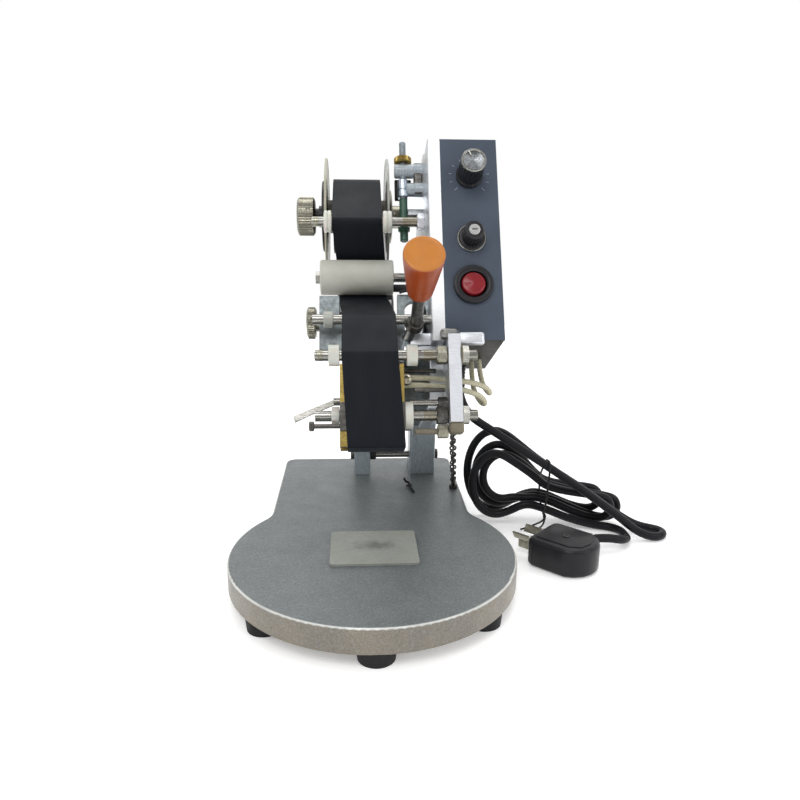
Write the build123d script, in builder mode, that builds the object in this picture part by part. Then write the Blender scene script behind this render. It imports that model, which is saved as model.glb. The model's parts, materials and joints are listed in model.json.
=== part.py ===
from build123d import *
import math
import os

# Hand-operated hot-stamp date coder: a round base with a tail, and a print head that tilts
# down onto a rubber pad. Millimetres. +Z up, the operator stands on the -Y side, origin on
# the floor under the middle of the whole machine without its cord.

os.makedirs("parts", exist_ok=True)

# ---------------------------------------------------------------- driving dimensions
disc_r = 95.0            # round front of the base
base_len = 285.0         # front of the disc to the back of the tail
tail_w = 147.0
base_t = 17.0
foot_h = 9.0
foot_r = 11.0
pad_w, pad_d, pad_t = 58.0, 49.0, 2.0

tilt = 26.0              # how far the raised head leans back, and its whole stroke
pivot_back = 150.0       # pivot shaft behind the disc's centre
pivot_up = 48.0          # pivot shaft above the base's top face
pivot_r = 5.0
run_gap = 0.05           # radial clearance of a running fit
gap = 0.3                # clearance between curved faces of different bodies

plate_x = 40.3           # left face of the side plate
plate_t = 8.8
panel_w = 40.0
box_d = 80.0
box_h = 147.0
head_front = -145.8      # front face of the control box, ahead of the pivot
box_low = 27.2           # bottom of the control box, above the pivot

ribbon_w = 36.8
ribbon_t = 0.4
ribbon_x = -1.5          # middle of the ribbon at the stamp
reel_x = -9.0            # middle of the ribbon at the reels
rod_r = 3.5
press_shaft_r = 3.0
cord_r = 3.2

# places in the head, as (back, up) from the pivot shaft; the front has negative back values
upper_reel = (-61.0, 155.0)
lower_reel = (-35.0, 74.0)
feed_at = (-92.0, 91.5)
press_at = (-69.2, 91.5)
guide_upper_at = (-111.0, 127.5)
guide_middle_at = (-130.5, 46.5)
guide_front_at = (-152.0, 15.3)
guide_lower_at = (-145.0, -23.3)
flange_r = 45.0
feed_r, press_r = 13.0, 9.0
roll_r, lower_roll_r = 29.0, 16.0
type_low = -44.6

# ---------------------------------------------------------------- derived values
lean_c = math.cos(math.radians(tilt))
lean_s = math.sin(math.radians(tilt))
reach_back = pivot_back + upper_reel[0] * lean_c + upper_reel[1] * lean_s + flange_r
disc_y = (disc_r - reach_back) / 2
tail_end = disc_y - disc_r + base_len
top_z = foot_h + base_t
pivot_y = disc_y + pivot_back
pivot_z = top_z + pivot_up
post_inner_l, post_inner_r = 1.0, 34.5
plate_out = plate_x + plate_t
box_x = plate_out + panel_w / 2
box_top = box_low + box_h
box_mid_u = box_low + box_h / 2
shaft_end = plate_out - gap


# ---------------------------------------------------------------- the head's own directions
def head_point(x, back, up):
    """A point of the raised head, from its place along the head's own axes."""
    return (x, pivot_y + back * lean_c + up * lean_s, pivot_z - back * lean_s + up * lean_c)


def across(x):
    """Plane across the head: its x runs back, its y runs up, and it faces right."""
    return Plane(origin=head_point(x, 0, 0), x_dir=(0, lean_c, -lean_s), z_dir=(1, 0, 0))


def facing(back):
    """Plane facing the front of the head: its x runs right and its y runs up."""
    return Plane(origin=head_point(0, back, 0), x_dir=(1, 0, 0), z_dir=(0, -lean_c, lean_s))


def level(up):
    """Plane facing the top of the head: its x runs right and its y runs back."""
    return Plane(origin=head_point(0, 0, up), x_dir=(1, 0, 0), z_dir=(0, lean_s, lean_c))


def save(piece, label):
    piece.part.label = label
    export_step(piece.part, f"parts/{label}.step")


def bar(label, at, x0, x1, radius, bore=0.0):
    """Round bar across the head between x0 and x1, bored if bore is given."""
    with BuildPart() as piece:
        with BuildSketch(across(x0)):
            with Locations(at):
                Circle(radius)
                if bore:
                    Circle(bore, mode=Mode.SUBTRACT)
        extrude(amount=x1 - x0)
    save(piece, label)


# ---------------------------------------------------------------- base
with BuildPart() as base_plate:
    with BuildSketch(Plane.XY.offset(foot_h)):
        with Locations((0, disc_y)):
            Circle(disc_r)
        with Locations((0, (disc_y + tail_end) / 2)):
            Rectangle(tail_w, tail_end - disc_y)
        outline = vertices()
        fillet(outline.group_by(Axis.Y)[-1], radius=9)
        notch = vertices().filter_by(lambda v: disc_y + 40 < v.Y < disc_y + 80)
        fillet(notch, radius=24)
    extrude(amount=base_t)
    fillet(faces().sort_by(Axis.Z)[-1].outer_wire().edges(), radius=1.6)
    chamfer(faces().sort_by(Axis.Z)[0].outer_wire().edges(), length=1.0)
save(base_plate, "base_plate")

foot_places = {
    "foot_front": (0.0, disc_y - 82.5),
    "foot_left": (-66.5, disc_y - 48.5),
    "foot_right": (66.5, disc_y - 48.5),
    "foot_tail_left": (-54.0, tail_end - 20.0),
    "foot_tail_right": (54.0, tail_end - 20.0),
}
for foot_name, place in foot_places.items():
    with BuildPart() as foot:
        with BuildSketch(Plane.XY):
            with Locations(place):
                Circle(foot_r)
        extrude(amount=foot_h, taper=-6)
        with Locations(Location((place[0], place[1], 0), (180, 0, 0))):
            CounterBoreHole(radius=2.2, counter_bore_radius=4.5, counter_bore_depth=4.0, depth=foot_h)
    save(foot, foot_name)

with BuildPart() as stamp_pad:
    with BuildSketch(Plane.XY.offset(top_z)):
        with Locations((0.6, disc_y + 2.7)):
            RectangleRounded(pad_w, pad_d, radius=2.5)
    extrude(amount=pad_t)
    chamfer(faces().sort_by(Axis.Z)[-1].edges(), length=0.5)
save(stamp_pad, "stamp_pad")


def make_post(label, x0, x1):
    """Upright cheek that holds one end of the pivot shaft and of the tie rod."""
    with BuildPart() as post:
        with BuildSketch(Plane.YZ.offset(x0)):
            with BuildLine():
                Polyline(
                    (pivot_y - 4, top_z),
                    (pivot_y + 26, top_z),
                    (pivot_y + 10, pivot_z + 2),
                    (pivot_y - 10, pivot_z + 2),
                    close=True,
                )
            make_face()
            with Locations((pivot_y, pivot_z)):
                Circle(11)
                Circle(pivot_r, mode=Mode.SUBTRACT)
        extrude(amount=x1 - x0)
        chamfer(faces().sort_by(Axis.X)[-1].outer_wire().edges(), length=0.7)
        chamfer(faces().sort_by(Axis.X)[0].outer_wire().edges(), length=0.7)
    save(post, label)


make_post("post_left", post_inner_l - 13.5, post_inner_l)
make_post("post_right", post_inner_r, post_inner_r + 21.5)

with BuildPart() as pivot_shaft:
    with BuildSketch(Plane.YZ.offset(post_inner_l - 15.5)):
        with Locations((pivot_y, pivot_z)):
            Circle(pivot_r)
    extrude(amount=post_inner_r + 23.5 - (post_inner_l - 15.5))
    chamfer(edges().filter_by(GeomType.CIRCLE), length=0.8)
save(pivot_shaft, "pivot_shaft")

with BuildPart() as tie_rod:
    with BuildSketch(Plane.YZ.offset(post_inner_l)):
        with Locations((pivot_y + 2, top_z + 16.4)):
            Circle(2.8)
    extrude(amount=post_inner_r - post_inner_l)
save(tie_rod, "tie_rod")

hub_x0 = 11.0
with BuildPart() as return_spring:
    with BuildSketch(Plane.YZ.offset(post_inner_l + 0.4)):
        with Locations((pivot_y, pivot_z)):
            Circle(9.0)
            Circle(pivot_r + 0.8, mode=Mode.SUBTRACT)
    extrude(amount=hub_x0 - 0.4 - (post_inner_l + 0.4))
save(return_spring, "return_spring")

# the feed chain runs from an eye at the tail's right edge up to the feed lever
chain_foot = (68.0, disc_y + 112.0)
chain_top = head_point(54.0, -132.0, -27.0)
with BuildPart() as chain_anchor:
    with BuildSketch(Plane.XY.offset(top_z)):
        with Locations(chain_foot):
            Circle(3.2)
    extrude(amount=3.0)
    with BuildSketch(Plane.XY.offset(top_z + 3.0)):
        with Locations(chain_foot):
            Circle(1.6)
    extrude(amount=3.0)
save(chain_anchor, "chain_anchor")

with BuildPart() as chain:
    with BuildSketch(Plane.XY.offset(top_z + 6.4)):
        with Locations(chain_foot):
            Rectangle(4.6, 4.6)
    with BuildSketch(Plane.XY.offset(chain_top[2] - 6.0)):
        with Locations((chain_top[0], chain_top[1])):
            Rectangle(4.6, 4.6)
    loft()
save(chain, "chain")

# ---------------------------------------------------------------- head frame
with BuildPart() as head_arm:
    # hub on the pivot shaft
    with BuildSketch(across(hub_x0)):
        Circle(10)
    extrude(amount=post_inner_r - 0.4 - hub_x0)
    # arm that runs forward beside the ribbon
    with BuildSketch(across(20.5)):
        with Locations((-62, 0)):
            Rectangle(124, 18)
    extrude(amount=post_inner_r - 0.4 - 20.5)
    # pad where the side plate bolts on
    with BuildSketch(across(post_inner_r - 0.4)):
        with Locations((-64, 0)):
            Rectangle(86, 18)
    extrude(amount=plate_x - (post_inner_r - 0.4))
    # cross web behind the ribbon, with an ear on the left and an arch on the right
    with BuildSketch(facing(-112)):
        with BuildLine():
            Polyline(
                (-36, 29), (-36, 68), (-22, 68), (-22, 50), (19, 50), (19, 69), (40.3, 69),
                (40.3, 8), (22, 8), (22, 29), close=True,
            )
        make_face()
        with Locations((30.5, 51)):
            SlotOverall(26, 13, rotation=90, mode=Mode.SUBTRACT)
    extrude(amount=6)
    # lower beam that holds the handle
    with BuildSketch(facing(-118)):
        with Locations((31, 34)):
            Rectangle(18, 9)
    extrude(amount=6)
    with BuildSketch(across(hub_x0)):
        Circle(pivot_r + run_gap)
    extrude(amount=post_inner_r - 0.4 - hub_x0, mode=Mode.SUBTRACT)
save(head_arm, "head_arm")

with BuildPart() as side_plate:
    with BuildSketch(across(plate_x)):
        with BuildLine():
            Polyline(
                (head_front, box_low), (head_front, box_top), (-126, box_top), (-112, box_top + 7.5),
                (-84, box_top + 7.5), (-50, 158), (-18, 128), (-18, -11), (-106, -11), (-126, 12), (-126, box_low), close=True,
            )
        make_face()
        fillet(vertices().group_by(Axis.Y)[-1], radius=9)
        with Locations(upper_reel, lower_reel, feed_at):
            Circle(rod_r + run_gap, mode=Mode.SUBTRACT)
        with Locations(press_at):
            Circle(press_shaft_r + run_gap, mode=Mode.SUBTRACT)
    extrude(amount=plate_t)
    chamfer(faces().sort_by(Axis.X)[0].outer_wire().edges(), length=0.6)
save(side_plate, "side_plate")

with BuildPart() as control_box:
    with BuildSketch(across(plate_out)):
        with Locations((head_front + 1.5 + (box_d - 1.5) / 2, box_mid_u)):
            Rectangle(box_d - 1.5, box_h)
    extrude(amount=panel_w)
    front_face = faces().sort_by(Axis(head_point(0, 0, 0), (0, lean_c, -lean_s)))[0]
    offset(amount=-1.2, openings=front_face)
save(control_box, "control_box")

knob_u, fuse_u, switch_u = 145.7, 99.7, 66.0
with BuildPart() as box_panel:
    with BuildSketch(facing(head_front + 1.5)):
        with Locations((box_x, box_mid_u)):
            Rectangle(panel_w, box_h)
        with Locations((box_x, knob_u)):
            Circle(3.3, mode=Mode.SUBTRACT)
        with Locations((box_x, fuse_u)):
            Circle(6.2, mode=Mode.SUBTRACT)
        with Locations((box_x, switch_u)):
            Circle(10.6, mode=Mode.SUBTRACT)
    extrude(amount=1.5)
save(box_panel, "box_panel")

with BuildPart() as switch_bezel:
    with BuildSketch(facing(head_front)):
        with Locations((box_x, switch_u)):
            Circle(13.6)
            Circle(9.2, mode=Mode.SUBTRACT)
    extrude(amount=2.6)
    with BuildSketch(facing(head_front)):
        with Locations((box_x, switch_u)):
            Circle(10.5)
            Circle(9.2, mode=Mode.SUBTRACT)
    extrude(amount=-12)
save(switch_bezel, "switch_bezel")

rock = 7.0               # the rocker leans this far each way
rock_c = math.cos(math.radians(tilt + rock))
rock_s = math.sin(math.radians(tilt + rock))
rocker_face = Plane(
    origin=head_point(box_x, head_front + 2.0, switch_u), x_dir=(1, 0, 0), z_dir=(0, -rock_c, rock_s)
)
with BuildPart() as power_button:
    with BuildSketch(rocker_face):
        Circle(8.3)
    extrude(amount=5.4)
    outer_edge = edges().filter_by(GeomType.CIRCLE).sort_by(Axis(rocker_face.origin, rocker_face.z_dir))[-1]
    chamfer(outer_edge, length=1.0)
    with BuildSketch(rocker_face):
        Rectangle(7, 9)
    extrude(amount=-6)
    # trunnions the rocker tips on
    with BuildSketch(across(box_x - 8.9)):
        with Locations((head_front + 2.0, switch_u)):
            Circle(1.2)
    extrude(amount=17.8)
save(power_button, "power_button")

with BuildPart() as temp_knob:
    with BuildSketch(facing(head_front - 0.6)):
        with Locations((box_x, knob_u)):
            Circle(9.4)
    extrude(amount=3.2)
    with BuildSketch(facing(head_front - 3.8)):
        with Locations((box_x, knob_u)):
            Circle(8.6)
    extrude(amount=19)
    chamfer(faces().sort_by(Axis(head_point(0, 0, 0), (0, -lean_c, lean_s)))[-1].edges(), length=0.8)
    with BuildSketch(facing(head_front - 0.6)):
        with Locations((box_x, knob_u)):
            Circle(3.25)
    extrude(amount=-14)
save(temp_knob, "temp_knob")

with BuildPart() as fuse_cap:
    with BuildSketch(facing(head_front - 0.4)):
        with Locations((box_x, fuse_u)):
            Circle(9.6)
    extrude(amount=2.4)
    with BuildSketch(facing(head_front - 2.8)):
        with Locations((box_x, fuse_u)):
            Circle(7.0)
    extrude(amount=12.5)
    chamfer(faces().sort_by(Axis(head_point(0, 0, 0), (0, -lean_c, lean_s)))[-1].edges(), length=1.2)
    with BuildSketch(facing(head_front - 0.4)):
        with Locations((box_x, fuse_u)):
            Circle(6.0)
    extrude(amount=-26)
save(fuse_cap, "fuse_cap")

# link plate under the control box, which carries the front rods and the feed lever's pin
link_t = 8.2
nut_x = plate_out + link_t
lever_pivot = (-95.0, -17.0)
with BuildPart() as link_plate:
    with BuildSketch(across(plate_out)):
        with BuildLine():
            Polyline(
                (-159, -30), (-159, 28), (-155, 31), (-147.5, 31), (-147.5, 26), (-86, 26), (-86, -25),
                (-104, -25), (-104, -8), (-119, -8), (-119, 9), (-137, 9), (-137, -30), close=True,
            )
        make_face()
        with Locations(guide_front_at, guide_lower_at):
            Circle(rod_r, mode=Mode.SUBTRACT)
    extrude(amount=link_t)
    chamfer(faces().sort_by(Axis.X)[-1].outer_wire().edges(), length=0.6)
    with BuildSketch(across(nut_x)):
        with Locations(lever_pivot):
            Circle(2.0)
    extrude(amount=3.0 + 2 * gap)
    with BuildSketch(across(nut_x + 3.0 + 2 * gap)):
        with Locations(lever_pivot):
            Circle(4.0)
    extrude(amount=1.6)
save(link_plate, "link_plate")

# ---------------------------------------------------------------- ribbon guides
bar("guide_upper", guide_upper_at, -42.0, plate_x, rod_r)
bar("guide_middle", guide_middle_at, -40.0, plate_x, rod_r)
for guide_name, place in (("guide_front", guide_front_at), ("guide_lower", guide_lower_at)):
    with BuildPart() as guide:
        with BuildSketch(across(-37.0)):
            with Locations(place):
                Circle(rod_r)
        extrude(amount=plate_out + 19.0 + 37.0)
        with BuildSketch(across(nut_x)):
            with Locations(place):
                RegularPolygon(6.4, 6)
        extrude(amount=5.5)
    save(guide, guide_name)
ribbon_l, ribbon_r = ribbon_x - ribbon_w / 2, ribbon_x + ribbon_w / 2
bar("collar_front_left", guide_front_at, -28.2, -21.3, 7.0, rod_r)
bar("collar_front_right", guide_front_at, 22.4, 29.4, 7.0, rod_r)
bar("collar_lower_left", guide_lower_at, -26.4, -21.4, 6.0, rod_r)
bar("collar_lower_right", guide_lower_at, 20.8, 26.0, 9.0, rod_r)

# ---------------------------------------------------------------- heated stamp
stamp_l, stamp_r = -21.0, 20.4
clamp_pivot = (-139.0, -12.6)
lock_at = (-151.5, -31.0)
with BuildPart() as heater_block:
    with BuildSketch(across(stamp_l)):
        with Locations((-143.5, -3.2)):
            Rectangle(20, 25.2)
    extrude(amount=stamp_r - stamp_l)
    with BuildSketch(across(stamp_l)):
        with Locations((-143.5, -3.2)):
            Circle(5.0)
    extrude(amount=stamp_r - stamp_l - 6, mode=Mode.SUBTRACT)
    with BuildSketch(across(stamp_l)):
        with Locations(clamp_pivot):
            Circle(1.5 + run_gap)
    extrude(amount=6.0, mode=Mode.SUBTRACT)
save(heater_block, "heater_block")

with BuildPart() as type_clamp:
    with BuildSketch(across(stamp_l)):
        with Locations((-143.5, -25.1)):
            Rectangle(22, 18.4)
        with Locations(guide_lower_at):
            Circle(rod_r, mode=Mode.SUBTRACT)
    extrude(amount=stamp_r - stamp_l)
    with BuildSketch(across(stamp_l)):
        with Locations(lock_at):
            Circle(1.5 + run_gap)
    extrude(amount=6.0, mode=Mode.SUBTRACT)
save(type_clamp, "type_clamp")

with BuildPart() as type_holder:
    with BuildSketch(across(stamp_l)):
        with Locations((-143.5, (type_low - 34.6) / 2)):
            Rectangle(20, -34.6 - type_low)
        with Locations((-143.5, type_low)):
            Rectangle(9, 5.0, mode=Mode.SUBTRACT)
    extrude(amount=stamp_r - stamp_l)
    with BuildSketch(across(stamp_l + 5)):
        with Locations((-143.5, type_low + 1.25)):
            Rectangle(9, 2.5)
    extrude(amount=stamp_r - stamp_l - 10)
save(type_holder, "type_holder")

with BuildPart() as type_lever:
    with BuildSketch(across(stamp_l - 4.5)):
        with Locations(clamp_pivot):
            Circle(2.6)
    extrude(amount=4.5 - gap)
    with BuildSketch(across(stamp_l - gap)):
        with Locations(clamp_pivot):
            Circle(1.5)
    extrude(amount=5.5)
    with BuildSketch(facing(clamp_pivot[0] + 1.1)):
        with BuildLine():
            Polyline(
                (stamp_l - 2.5, -10.8), (-42, -18.2), (-51.5, -22.4), (-50.6, -26.4),
                (-41, -21.8), (stamp_l - 2.5, -14.4), close=True,
            )
        make_face()
    extrude(amount=2.2)
save(type_lever, "type_lever")

with BuildPart() as lock_screw:
    with BuildSketch(across(-40.5)):
        with Locations(lock_at):
            Circle(3.2)
    extrude(amount=3.2)
    with BuildSketch(across(-37.3)):
        with Locations(lock_at):
            Circle(1.5)
    extrude(amount=stamp_l + 5.5 + 37.3)
save(lock_screw, "lock_screw")

# ---------------------------------------------------------------- handle
handle_root = head_point(25.5, -124.0, 33.5)
handle_neck = head_point(25.5, -130.0, 33.5)
handle_bend = head_point(30.0, -146.0, 41.0)
handle_tip = head_point(28.9, -221.7, 57.0)
along = Vector(*handle_tip) - Vector(*handle_bend)
grip_len = 42.0
rod_in_grip = 24.0
rod_end = Vector(*handle_tip) - along.normalized() * (grip_len - rod_in_grip)
with BuildPart() as handle_rod:
    with BuildLine():
        Polyline(handle_root, handle_neck, handle_bend, tuple(rod_end))
    with BuildSketch(Plane(origin=handle_root, z_dir=Vector(*handle_neck) - Vector(*handle_root))):
        Circle(4.0)
    sweep(transition=Transition.ROUND)
save(handle_rod, "handle_rod")

grip_plane = Plane(origin=Vector(*handle_tip) - along.normalized() * grip_len, z_dir=along)
with BuildPart() as handle_grip:
    with BuildSketch(grip_plane):
        Circle(8.4)
    with BuildSketch(grip_plane.offset(grip_len - 7)):
        Circle(12.4)
    loft()
    with BuildSketch(grip_plane.offset(grip_len - 7)):
        Circle(12.4)
    extrude(amount=7)
    fillet(edges().filter_by(GeomType.CIRCLE).sort_by(Axis(handle_root, along))[-1], radius=3.5)
    with BuildSketch(grip_plane):
        Circle(4.0)
    extrude(amount=rod_in_grip, mode=Mode.SUBTRACT)
save(handle_grip, "handle_grip")

# ---------------------------------------------------------------- reels and rollers
def make_spool(label, at, flange_r, core_r, x0, x1):
    """Two thin flanges on a bored core."""
    with BuildPart() as spool:
        with BuildSketch(across(x0)):
            with Locations(at):
                Circle(core_r)
        extrude(amount=x1 - x0)
        for side in (x0, x1 - 1.8):
            with BuildSketch(across(side)):
                with Locations(at):
                    Circle(flange_r)
            extrude(amount=1.8)
        with BuildSketch(across(x0)):
            with Locations(at):
                Circle(rod_r)
        extrude(amount=x1 - x0, mode=Mode.SUBTRACT)
    save(spool, label)


def make_knob(label, at, x0, x1, radius):
    """Reel knob with its shaft, which turns in the side plate."""
    with BuildPart() as knob:
        with BuildSketch(across(x0)):
            with Locations(at):
                Circle(radius)
        extrude(amount=x1 - x0)
        chamfer(edges().filter_by(GeomType.CIRCLE), length=0.9)
        with BuildSketch(across(x1)):
            with Locations(at):
                Circle(rod_r)
        extrude(amount=shaft_end - x1)
    save(knob, label)


reel_l, reel_r = reel_x - ribbon_w / 2, reel_x + ribbon_w / 2
make_spool("upper_spool", upper_reel, flange_r, 13.0, -33.6, 15.6)
bar("upper_roll", upper_reel, reel_l, reel_r, roll_r, 13.0)
make_knob("upper_knob", upper_reel, -56.4, -42.2, 15.2)
make_spool("lower_spool", lower_reel, 25.5, 9.0, -24.6, 19.6)
bar("lower_roll", lower_reel, ribbon_l, ribbon_r, lower_roll_r, 9.0)
make_knob("lower_knob", lower_reel, -50.1, -42.1, 13.0)

bar("feed_roller", feed_at, -36.5, 17.6, feed_r, rod_r)
with BuildPart() as feed_axle:
    with BuildSketch(across(-40.0)):
        with Locations(feed_at):
            RegularPolygon(4.6, 6)
    extrude(amount=3.5)
    with BuildSketch(across(-36.5)):
        with Locations(feed_at):
            Circle(rod_r)
    extrude(amount=shaft_end + 36.5)
    with BuildSketch(across(31.0)):
        with Locations(feed_at):
            Circle(9.5)
    extrude(amount=4.0)
save(feed_axle, "feed_axle")
with BuildPart() as press_roller:
    with BuildSketch(across(-20.0)):
        with Locations(press_at):
            Circle(press_r)
    extrude(amount=37.5)
    with BuildSketch(across(17.5)):
        with Locations(press_at):
            Circle(press_shaft_r)
    extrude(amount=shaft_end - 17.5)
save(press_roller, "press_roller")

# ---------------------------------------------------------------- ribbon
def tangent(first, second):
    """Straight run between two round guides, each (back, up, radius, side it is passed on)."""
    (b0, u0, r0, s0), (b1, u1, r1, s1) = first, second
    db, du = b1 - b0, u1 - u0
    span = math.hypot(db, du)
    k = s1 * r1 - s0 * r0
    h = math.sqrt(span**2 - k**2)
    tb = (h * db + k * du) / span**2
    tu = (h * du - k * db) / span**2
    return (b0 + s0 * r0 * tu, u0 - s0 * r0 * tb), (b1 + s1 * r1 * tu, u1 - s1 * r1 * tb)


def make_ribbon(label, guides, x_mid):
    """Thin strip that follows the guides and bends round each one."""
    runs = [tangent(guides[i], guides[i + 1]) for i in range(len(guides) - 1)]
    with BuildPart() as strip:
        with BuildSketch(across(x_mid - ribbon_w / 2)):
            with BuildLine():
                for i in range(len(runs)):
                    Line(runs[i][0], runs[i][1])
                    if i + 1 < len(runs):
                        b, u, r, s = guides[i + 1]
                        mid = (Vector(*runs[i][1]) + Vector(*runs[i + 1][0])) * 0.5 - Vector(b, u)
                        on_arc = Vector(b, u) + mid.normalized() * r
                        ThreePointArc(runs[i][1], on_arc, runs[i + 1][0])
            trace(line_width=ribbon_t)
        extrude(amount=ribbon_w)
    save(strip, label)


skin = ribbon_t / 2 + 0.05
nip = (feed_at[0], feed_at[1], feed_r + gap / 2 + ribbon_t / 2, -1)
make_ribbon(
    "ribbon_upper",
    [
        (upper_reel[0], upper_reel[1], roll_r + skin + gap, 1),
        (guide_upper_at[0], guide_upper_at[1], rod_r + skin, 1),
        nip,
    ],
    reel_x,
)
make_ribbon(
    "ribbon_lower",
    [
        nip,
        (guide_middle_at[0], guide_middle_at[1], rod_r + skin, 1),
        (guide_front_at[0], guide_front_at[1], rod_r + skin, 1),
        (-153.6, type_low + 0.8, 1.2 + skin, 1),
        (-134.2, type_low + 0.8, 1.2 + skin, 1),
        (lower_reel[0], lower_reel[1], lower_roll_r + skin + gap, -1),
    ],
    ribbon_x,
)

# ---------------------------------------------------------------- tension adjuster
adjust_b, adjust_x = -101.5, 26.0
with BuildPart() as adjuster_bracket:
    with BuildSketch(across(19.5)):
        with Locations((adjust_b, 173.2), (adjust_b, 157.8)):
            Circle(5.4)
    extrude(amount=plate_x - 19.5)
    with BuildSketch(across(34.0)):
        with Locations((adjust_b, 165.5)):
            Rectangle(9, 24)
    extrude(amount=plate_x - 34.0)
    with BuildSketch(level(145)):
        with Locations((adjust_x, adjust_b)):
            Circle(2.5)
    extrude(amount=40, mode=Mode.SUBTRACT)
save(adjuster_bracket, "adjuster_bracket")
with BuildPart() as adjuster_rod:
    with BuildSketch(level(118)):
        with Locations((adjust_x, adjust_b)):
            Circle(2.5)
    extrude(amount=79)
    with BuildSketch(level(120)):
        with Locations((adjust_x, adjust_b)):
            Circle(4.6)
    extrude(amount=4)
save(adjuster_rod, "adjuster_rod")
with BuildPart() as adjuster_nut:
    with BuildSketch(level(179.2)):
        with Locations((adjust_x, adjust_b)):
            Circle(6.6)
            Circle(2.5 + run_gap, mode=Mode.SUBTRACT)
    extrude(amount=5.0)
    chamfer(edges().filter_by(GeomType.CIRCLE).group_by(SortBy.RADIUS)[-1], length=1.0)
save(adjuster_nut, "adjuster_nut")

# ---------------------------------------------------------------- feed lever
with BuildPart() as feed_lever:
    with BuildSketch(across(nut_x + gap)):
        with BuildLine():
            Polyline(
                (-95, -11), (-95, -23), (-128, -27), (-136, -27), (-136, -20), (-128, -19), close=True,
            )
        make_face()
        with Locations(lever_pivot):
            Circle(6.0)
            Circle(2.0 + run_gap, mode=Mode.SUBTRACT)
    extrude(amount=3.0)
    with BuildSketch(across(plate_out + 0.6)):
        with Locations((-130.5, -23.5)):
            Rectangle(8, 7)
    extrude(amount=nut_x + gap - plate_out - 0.6)
save(feed_lever, "feed_lever")


# ---------------------------------------------------------------- wires and mains cord
def corner_radii(points):
    """Bend radius at each inner point: 0.45 of the shorter run over the tangent of half the turn."""
    radii = []
    for i in range(1, len(points) - 1):
        before = Vector(*points[i]) - Vector(*points[i - 1])
        after = Vector(*points[i + 1]) - Vector(*points[i])
        half_turn = math.radians(before.get_angle(after)) / 2
        radii.append(0.45 * min(before.length, after.length) / math.tan(half_turn))
    return radii


def tube(label, points, radius):
    """Round tube along straight runs joined by tangent arcs."""
    radii = corner_radii(points)
    print(label, "radii", [round(r, 1) for r in radii])
    with BuildPart() as hose:
        with BuildLine() as route:
            FilletPolyline(*points, radius=radii)
        with BuildSketch(Plane(origin=points[0], z_dir=Vector(*points[1]) - Vector(*points[0]))):
            Circle(radius)
        sweep()
    length = sum(edge.length for edge in route.line.edges())
    expected = math.pi * radius**2 * length
    print(label, "length", round(length, 1), "volume ratio", round(hose.part.volume / expected, 4))
    save(hose, label)


# the heater's leads leave the block, pass the link plate's notch, loop back and rise into the box
lead_front_route = [
    (stamp_r, -140.0, 3.0),
    (37.0, -140.0, 3.0),
    (52.5, -130.0, 3.4),
    (67.0, -129.0, 2.6),
    (79.0, -124.0, 0.0),
    (84.0, -113.0, -2.5),
    (83.0, -101.0, 2.0),
    (80.0, -95.0, 13.0),
    (79.5, -94.0, box_low),
]
lead_back_route = [
    (stamp_r, -140.0, -2.0),
    (37.5, -140.0, -2.0),
    (53.5, -130.0, -1.8),
    (66.0, -127.5, -3.5),
    (76.0, -121.0, -6.0),
    (80.5, -111.0, -9.5),
    (79.0, -98.0, -6.0),
    (75.5, -90.5, 5.0),
    (75.0, -88.0, 16.0),
    (75.0, -88.0, box_low),
]
lead_r = 1.9
tube("lead_front", [head_point(*place) for place in lead_front_route], lead_r)
tube("lead_back", [head_point(*place) for place in lead_back_route], lead_r)

gland_x, gland_b = 66.0, -79.5
with BuildPart() as strain_relief:
    with BuildSketch(level(box_low)):
        with Locations((gland_x, gland_b)):
            Circle(6.6)
    extrude(amount=-2)
    with BuildSketch(level(box_low - 2)):
        with Locations((gland_x, gland_b)):
            Circle(5.4)
    with BuildSketch(level(box_low - 8)):
        with Locations((gland_x, gland_b)):
            Circle(4.2)
    loft()
save(strain_relief, "strain_relief")

# The hank stands beside the tail: its long fold slopes down to the right in front of the loose
# turns. Places in it are (along, back, height) from its corner on the floor.
hank_turn = math.atan2(10, 110)
hank_x, hank_y = 93.0, 46.0


def hank_point(along, back, height):
    """A point of the hank, in the machine's own axes."""
    return (
        hank_x + along * math.cos(hank_turn) + back * math.sin(hank_turn),
        hank_y - along * math.sin(hank_turn) + back * math.cos(hank_turn),
        height,
    )


hank_front, hank_back = -31.5, 20.0
hank_plane = Plane(
    origin=hank_point(0, hank_front, 0),
    x_dir=(math.cos(hank_turn), -math.sin(hank_turn), 0),
    z_dir=(math.sin(hank_turn), math.cos(hank_turn), 0),
)
# the outline has a short face square to the cord where it comes in, at the top left
hank_outline = [(-15, 12), (-15, 66), (-4.0, 81.4), (0.8, 89.0), (129, 9), (149, 7.2), (149, 0.3), (-6, 0.3)]
with BuildPart() as cord_hank:
    with BuildSketch(hank_plane):
        with BuildLine():
            Polyline(*[(along, -height) for along, height in hank_outline], close=True)
        make_face()
    extrude(amount=hank_back - hank_front)
save(cord_hank, "cord_hank")

cord_points = [
    head_point(gland_x, gland_b, box_low - 8),
    head_point(gland_x, gland_b, box_low - 20),
    (70.5, 26.2, 102.5),
    (78.0, 29.3, 92.6),
    hank_point(-1.6, -18, 85.2),
]
tube("cord", cord_points, cord_r)

plug_half_h = 11.0
plug_plane = Plane(origin=(138.0, -31.5, 0), x_dir=(-1, 1, 0), z_dir=(0, 0, 1))
tail_points = [
    hank_point(105.0, hank_front, 4.6),
    hank_point(105.0, -40.0, 6.0),
    hank_point(98.5, -47.5, 8.4),
    hank_point(88.5, -49.0, 10.4),
    tuple(plug_plane.from_local_coords(Vector(-4, -31, plug_half_h))),
    tuple(plug_plane.from_local_coords(Vector(-4, -20, plug_half_h))),
]
tube("cord_tail", tail_points, cord_r)

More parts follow.
